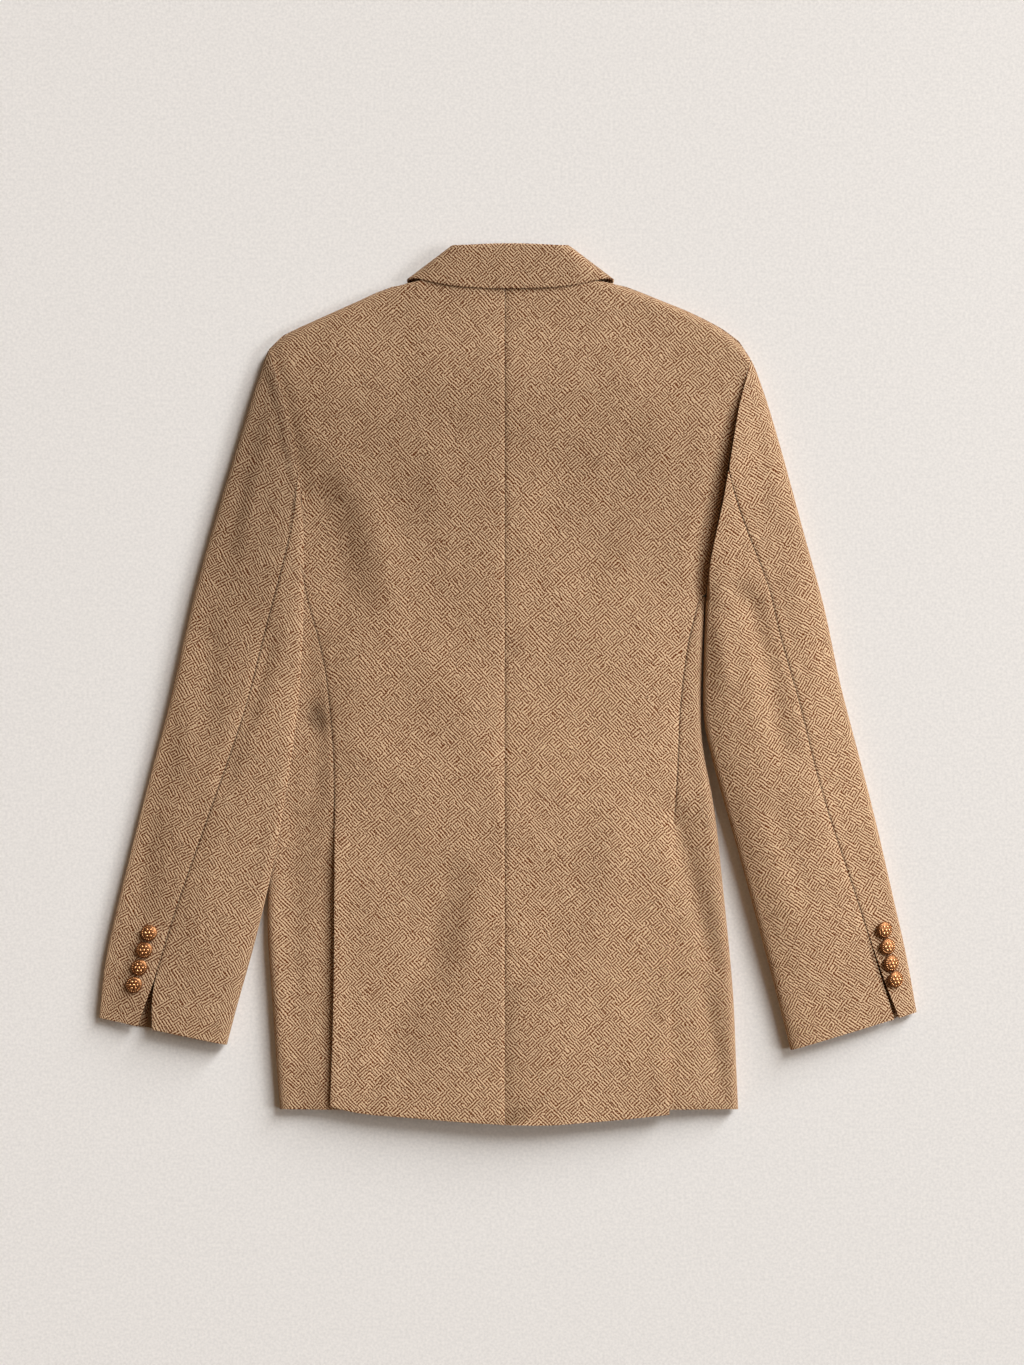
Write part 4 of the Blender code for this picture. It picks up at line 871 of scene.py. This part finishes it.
def antique_copper(settings):
    """Cast copper alloy, darkened and then rubbed back, so that the relief is bright on dark."""
    name = "antique_copper"
    if name in bpy.data.materials:
        return bpy.data.materials[name]
    made, tree = new_material(name)
    raised = node(tree, "ShaderNodeAttribute", {"attribute_name": "relief"})
    place = node(tree, "ShaderNodeTexCoord").outputs["Object"]
    grime = node(tree, "ShaderNodeTexNoise", {"noise_dimensions": "3D"}, Vector=place,
                 Scale=900.0, Detail=3.0)
    rubbed = node(tree, "ShaderNodeMath", {"operation": "MULTIPLY_ADD", "use_clamp": True},
                  i0=grime.outputs["Fac"], i1=0.5, i2=raised.outputs["Fac"])
    rubbed = node(tree, "ShaderNodeMapRange", {}, Value=rubbed, **{"From Min": 0.2})
    metal = node(tree, "ShaderNodeMix", {"data_type": "RGBA", "clamp_factor": True}, i0=rubbed,
                 i6=(*settings.patina, 1.0), i7=(*settings.polished, 1.0))
    rough = node(tree, "ShaderNodeMapRange", {}, Value=rubbed, **{"To Min": 0.55, "To Max": 0.28})
    pits = node(tree, "ShaderNodeBump", {}, Strength=0.3, Distance=0.05 * MM,
                Height=grime.outputs["Fac"])
    shader = node(tree, "ShaderNodeBsdfPrincipled", {}, Metallic=1.0, Normal=pits)
    tree.links.new(metal.outputs[2], shader.inputs["Base Color"])
    tree.links.new(rough.outputs[0], shader.inputs["Roughness"])
    node(tree, "ShaderNodeOutputMaterial", {}, Surface=shader)
    return made


def pale_floor(settings):
    """Matt painted board, which is even but for a fine tooth."""
    made, tree = new_material("painted_board")
    place = node(tree, "ShaderNodeTexCoord").outputs["Object"]
    tooth = node(tree, "ShaderNodeTexNoise", {"noise_dimensions": "3D"}, Vector=place,
                 Scale=420.0, Detail=3.0)
    tone = node(tree, "ShaderNodeMath", {"operation": "MULTIPLY_ADD"},
                i0=tooth.outputs["Fac"], i1=0.36, i2=0.82)
    paint = node(tree, "ShaderNodeVectorMath", {"operation": "SCALE"}, i0=settings.floor, Scale=tone)
    shader = node(tree, "ShaderNodeBsdfPrincipled", {}, Roughness=0.95)
    tree.links.new(paint.outputs[0], shader.inputs["Base Color"])
    shader.inputs["Specular IOR Level"].default_value = 0.1
    node(tree, "ShaderNodeOutputMaterial", {}, Surface=shader)
    return made


# ------------------------ buttons
BUTTON_SPREAD = 1.05    # the cast rim stands out this much past the plain button
RIM_LEVEL = 0.36        # the rim's place, as a share of the button's height
DOME_SHARE = 0.86       # the dome rises through this share of what is above the rim
# The relief's rings: how many bosses, how far out, how large and how tall for their size.
Ring = namedtuple("Ring", "count out size tall")
ROSETTE = (Ring(6, 0.44, 0.17, 0.55), Ring(1, 0.0, 0.20, 0.6))


def button_place(name):
    """A button solid's foot, the way it faces, its radius and its height, in metres."""
    points = read_points(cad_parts[name].data)
    middle = 0.5 * (points.min(axis=0) + points.max(axis=0))
    _, _, ways = np.linalg.svd(points - points.mean(axis=0), full_matrices=False)
    way = ways[2]
    facing = -1.0 if name.startswith("front") else 1.0
    way = way * math.copysign(1.0, way[2]) * facing
    reach = (points - middle) @ way
    low, high = reach.min(), reach.max()
    off = points - middle - np.outer(reach, way)
    radius = np.linalg.norm(off, axis=1).max()
    return Vector(middle + way * low), Vector(way), radius * BUTTON_SPREAD, high - low


def mark_relief(obj, value):
    """Says how high a part of the relief stands, from 0 to 1, and so how bright it is rubbed."""
    store(obj.data, "relief", np.full(len(obj.data.vertices), value))


def boss(radius, spot, tall):
    """A small round boss of the relief."""
    bpy.ops.mesh.primitive_uv_sphere_add(segments=10, ring_count=6, radius=radius, location=spot,
                                         scale=(1.0, 1.0, tall))
    made = bpy.context.object
    bpy.ops.object.transform_apply(location=True, rotation=True, scale=True)
    mark_relief(made, 1.0)
    return made


def button_form(radius, height, beads):
    """A domed button at the origin, facing +Z: shank, rim, dome, a beaded ring and a rosette."""
    parts = []
    bpy.ops.mesh.primitive_cylinder_add(vertices=20, radius=0.28 * radius, depth=0.34 * height,
                                        location=(0.0, 0.0, 0.17 * height))
    bpy.ops.object.transform_apply(location=True)
    mark_relief(bpy.context.object, 0.0)
    parts.append(bpy.context.object)
    bpy.ops.mesh.primitive_uv_sphere_add(segments=40, ring_count=20, radius=radius)
    dome = bpy.context.object
    rim = RIM_LEVEL * height
    points = read_points(dome.data)
    away = np.linalg.norm(points[:, :2], axis=1) / radius
    top = points[:, 2] >= -1e-9
    crown = (height - rim) * np.sqrt(np.clip(1.0 - away**2, 0.0, 1.0)) * DOME_SHARE
    points[:, 2] = np.where(top, rim + crown, rim + 0.10 * height * points[:, 2] / radius)
    write_points(dome.data, points)
    mark_relief(dome, 0.12)
    parts.append(dome)
    bpy.ops.mesh.primitive_torus_add(major_radius=0.93 * radius, minor_radius=0.07 * radius,
                                     major_segments=40, minor_segments=8, location=(0.0, 0.0, rim))
    bpy.ops.object.transform_apply(location=True)
    mark_relief(bpy.context.object, 0.8)
    parts.append(bpy.context.object)

    def on_dome(share, turn):
        lift = rim + (height - rim) * DOME_SHARE * math.sqrt(1.0 - share**2)
        return (share * radius * math.cos(turn), share * radius * math.sin(turn), lift)

    for ring in (Ring(beads, 0.78, 0.075, 0.9), *ROSETTE):
        for k in range(ring.count):
            spot = on_dome(ring.out, 2.0 * math.pi * k / ring.count)
            parts.append(boss(ring.size * radius, spot, ring.tall))
    select_only(*parts)
    bpy.context.view_layer.objects.active = dome
    bpy.ops.object.join()
    dome.data.shade_smooth()
    return dome


def sew_down(foot, cloth):
    """The foot of a button, brought down onto the dressed cloth under it."""
    high = Vector((foot.x, foot.y, 1.0))
    found, spot, _, _ = bpy.data.objects[cloth].ray_cast(high, Vector((0.0, 0.0, -1.0)))
    return spot if found else foot


def fasten_buttons(context, prefix):
    """Puts a button on each solid whose name starts with prefix."""
    settings = context.scene.blazer_buttons
    form = None
    for name in sorted(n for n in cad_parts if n.startswith(prefix)):
        foot, way, radius, height = button_place(name)
        if prefix == "cuff_button":
            foot = sew_down(foot, "sleeve_" + name.split("_")[2] + "_top_wool")
        if form is None:
            form = button_form(radius, height, settings.beads)
        button = bpy.data.objects.new(name + "_metal", form.data.copy())
        context.scene.collection.objects.link(button)
        turn = Vector((0.0, 0.0, 1.0)).rotation_difference(way).to_matrix().to_4x4()
        button.data.transform(Matrix.Translation(foot) @ turn)
        button.data.materials.clear()
        button.data.materials.append(antique_copper(settings))
        seat(button, "button_metal", name)
    bpy.data.objects.remove(form)


# ------------------------ operators
class BLAZER_OT_back(bpy.types.Operator):
    """Dress the two back panels"""

    bl_idname = "blazer.back"
    bl_label = "Back"

    def execute(self, context):
        return dress(context, "back_left", "back_right")


class BLAZER_OT_sides(bpy.types.Operator):
    """Dress the side bodies with their vents' underlaps"""

    bl_idname = "blazer.sides"
    bl_label = "Side Bodies"

    def execute(self, context):
        return dress(context, "side_left", "side_right")


class BLAZER_OT_fronts(bpy.types.Operator):
    """Dress the two fronts and their lapels"""

    bl_idname = "blazer.fronts"
    bl_label = "Fronts and Lapels"

    def execute(self, context):
        return dress(context, *FLAT_PIECES)


class BLAZER_OT_collar(bpy.types.Operator):
    """Dress the collar's fall and its stand"""

    bl_idname = "blazer.collar"
    bl_label = "Collar"

    def execute(self, context):
        return dress(context, "collar_fall", "collar_stand")


class BLAZER_OT_sleeves(bpy.types.Operator):
    """Dress the upper and under halves of both sleeves"""

    bl_idname = "blazer.sleeves"
    bl_label = "Sleeves"

    def execute(self, context):
        return dress(context, *SLEEVE_GRAINS)


class BLAZER_OT_cuff_buttons(bpy.types.Operator):
    """Fasten the small buttons of both cuffs"""

    bl_idname = "blazer.cuff_buttons"
    bl_label = "Cuff Buttons"

    def execute(self, context):
        fasten_buttons(context, "cuff_button")
        return {"FINISHED"}


class BLAZER_OT_front_buttons(bpy.types.Operator):
    """Fasten the large buttons of the double breasted front"""

    bl_idname = "blazer.front_buttons"
    bl_label = "Front Buttons"

    def execute(self, context):
        fasten_buttons(context, "front_button")
        return {"FINISHED"}


class BLAZER_OT_stage(bpy.types.Operator):
    """Set the pale floor, the soft light and the camera overhead"""

    bl_idname = "blazer.stage"
    bl_label = "Stage"

    def execute(self, context):
        settings = context.scene.blazer_stage
        bpy.ops.object.select_all(action="DESELECT")
        bpy.ops.mesh.primitive_plane_add(size=FLOOR_SIZE, location=(0.0, 0.0, -FLOOR_CLEAR * MM))
        floor = bpy.context.object
        floor.name = "floor"
        bpy.ops.object.transform_apply(location=True)
        floor.data.materials.append(pale_floor(settings))

        for row in KEY_LAMPS:
            key = bpy.data.lights.new("key", "SUN")
            key.energy = settings.key_power * row.share
            key.angle = settings.key_spread
            key.color = linear("#f1f7ff")[:3]
            lamp = bpy.data.objects.new("key", key)
            rise = settings.key_rise + math.radians(row.lift)
            turn = settings.key_turn + math.radians(row.turn)
            lamp.rotation_euler = (0.5 * math.pi - rise, 0.0, turn)
            context.scene.collection.objects.link(lamp)

        softbox = bpy.data.lights.new("side", "AREA")
        softbox.energy = settings.side_power
        softbox.size = SOFTBOX_SIZE
        softbox.color = linear("#f4f9ff")[:3]
        lamp = bpy.data.objects.new("side", softbox)
        lamp.location = SOFTBOX_PLACE
        lamp.rotation_euler = Vector(lamp.location).to_track_quat("Z", "Y").to_euler()
        context.scene.collection.objects.link(lamp)

        sky = bpy.data.worlds.new("even_sky")
        sky.use_nodes = True
        air = sky.node_tree.nodes["Background"]
        air.inputs["Color"].default_value = linear("#ffddba")
        air.inputs["Strength"].default_value = settings.sky
        context.scene.world = sky
        context.scene.view_settings.view_transform = "Standard"

        camera = bpy.data.cameras.new("overhead")
        camera.lens = settings.lens
        camera.sensor_fit = "VERTICAL"
        camera.sensor_height = 36.0
        eye = bpy.data.objects.new("overhead", camera)
        far = settings.frame_height * settings.lens / camera.sensor_height
        eye.location = (*FRAME_MIDDLE, far + CLOTH_TOP)
        context.scene.collection.objects.link(eye)
        context.scene.camera = eye
        return {"FINISHED"}


class BLAZER_PT_panel(bpy.types.Panel):
    """The blazer's settings and the steps that dress it"""

    bl_idname = "BLAZER_PT_panel"
    bl_label = "Blazer"
    bl_space_type = "VIEW_3D"
    bl_region_type = "UI"
    bl_category = "Blazer"

    def draw(self, context):
        for title, settings in (("Cloth", context.scene.blazer_cloth),
                                ("Buttons", context.scene.blazer_buttons),
                                ("Stage", context.scene.blazer_stage)):
            box = self.layout.box()
            box.label(text=title)
            for prop in settings.bl_rna.properties.keys():
                if prop not in ("rna_type", "name"):
                    box.prop(settings, prop)
        for step in OPERATORS:
            self.layout.operator(step.bl_idname)


SETTINGS = {"blazer_cloth": BlazerCloth, "blazer_buttons": BlazerButtons, "blazer_stage": BlazerStage}
OPERATORS = (BLAZER_OT_back, BLAZER_OT_sides, BLAZER_OT_fronts, BLAZER_OT_collar, BLAZER_OT_sleeves,
             BLAZER_OT_cuff_buttons, BLAZER_OT_front_buttons, BLAZER_OT_stage)


def register():
    for name, group in SETTINGS.items():
        bpy.utils.register_class(group)
        setattr(bpy.types.Scene, name, bpy.props.PointerProperty(type=group))
    for one in (*OPERATORS, BLAZER_PT_panel):
        bpy.utils.register_class(one)


def unregister():
    for one in reversed((*OPERATORS, BLAZER_PT_panel)):
        bpy.utils.unregister_class(one)
    for name, group in SETTINGS.items():
        delattr(bpy.types.Scene, name)
        bpy.utils.unregister_class(group)


def main():
    register()
    bpy.ops.blazer.back()
    bpy.ops.blazer.sides()
    bpy.ops.blazer.fronts()
    bpy.ops.blazer.collar()
    bpy.ops.blazer.sleeves()
    bpy.ops.blazer.cuff_buttons()
    bpy.ops.blazer.front_buttons()
    bpy.ops.blazer.stage()


if __name__ == "__main__":
    main()
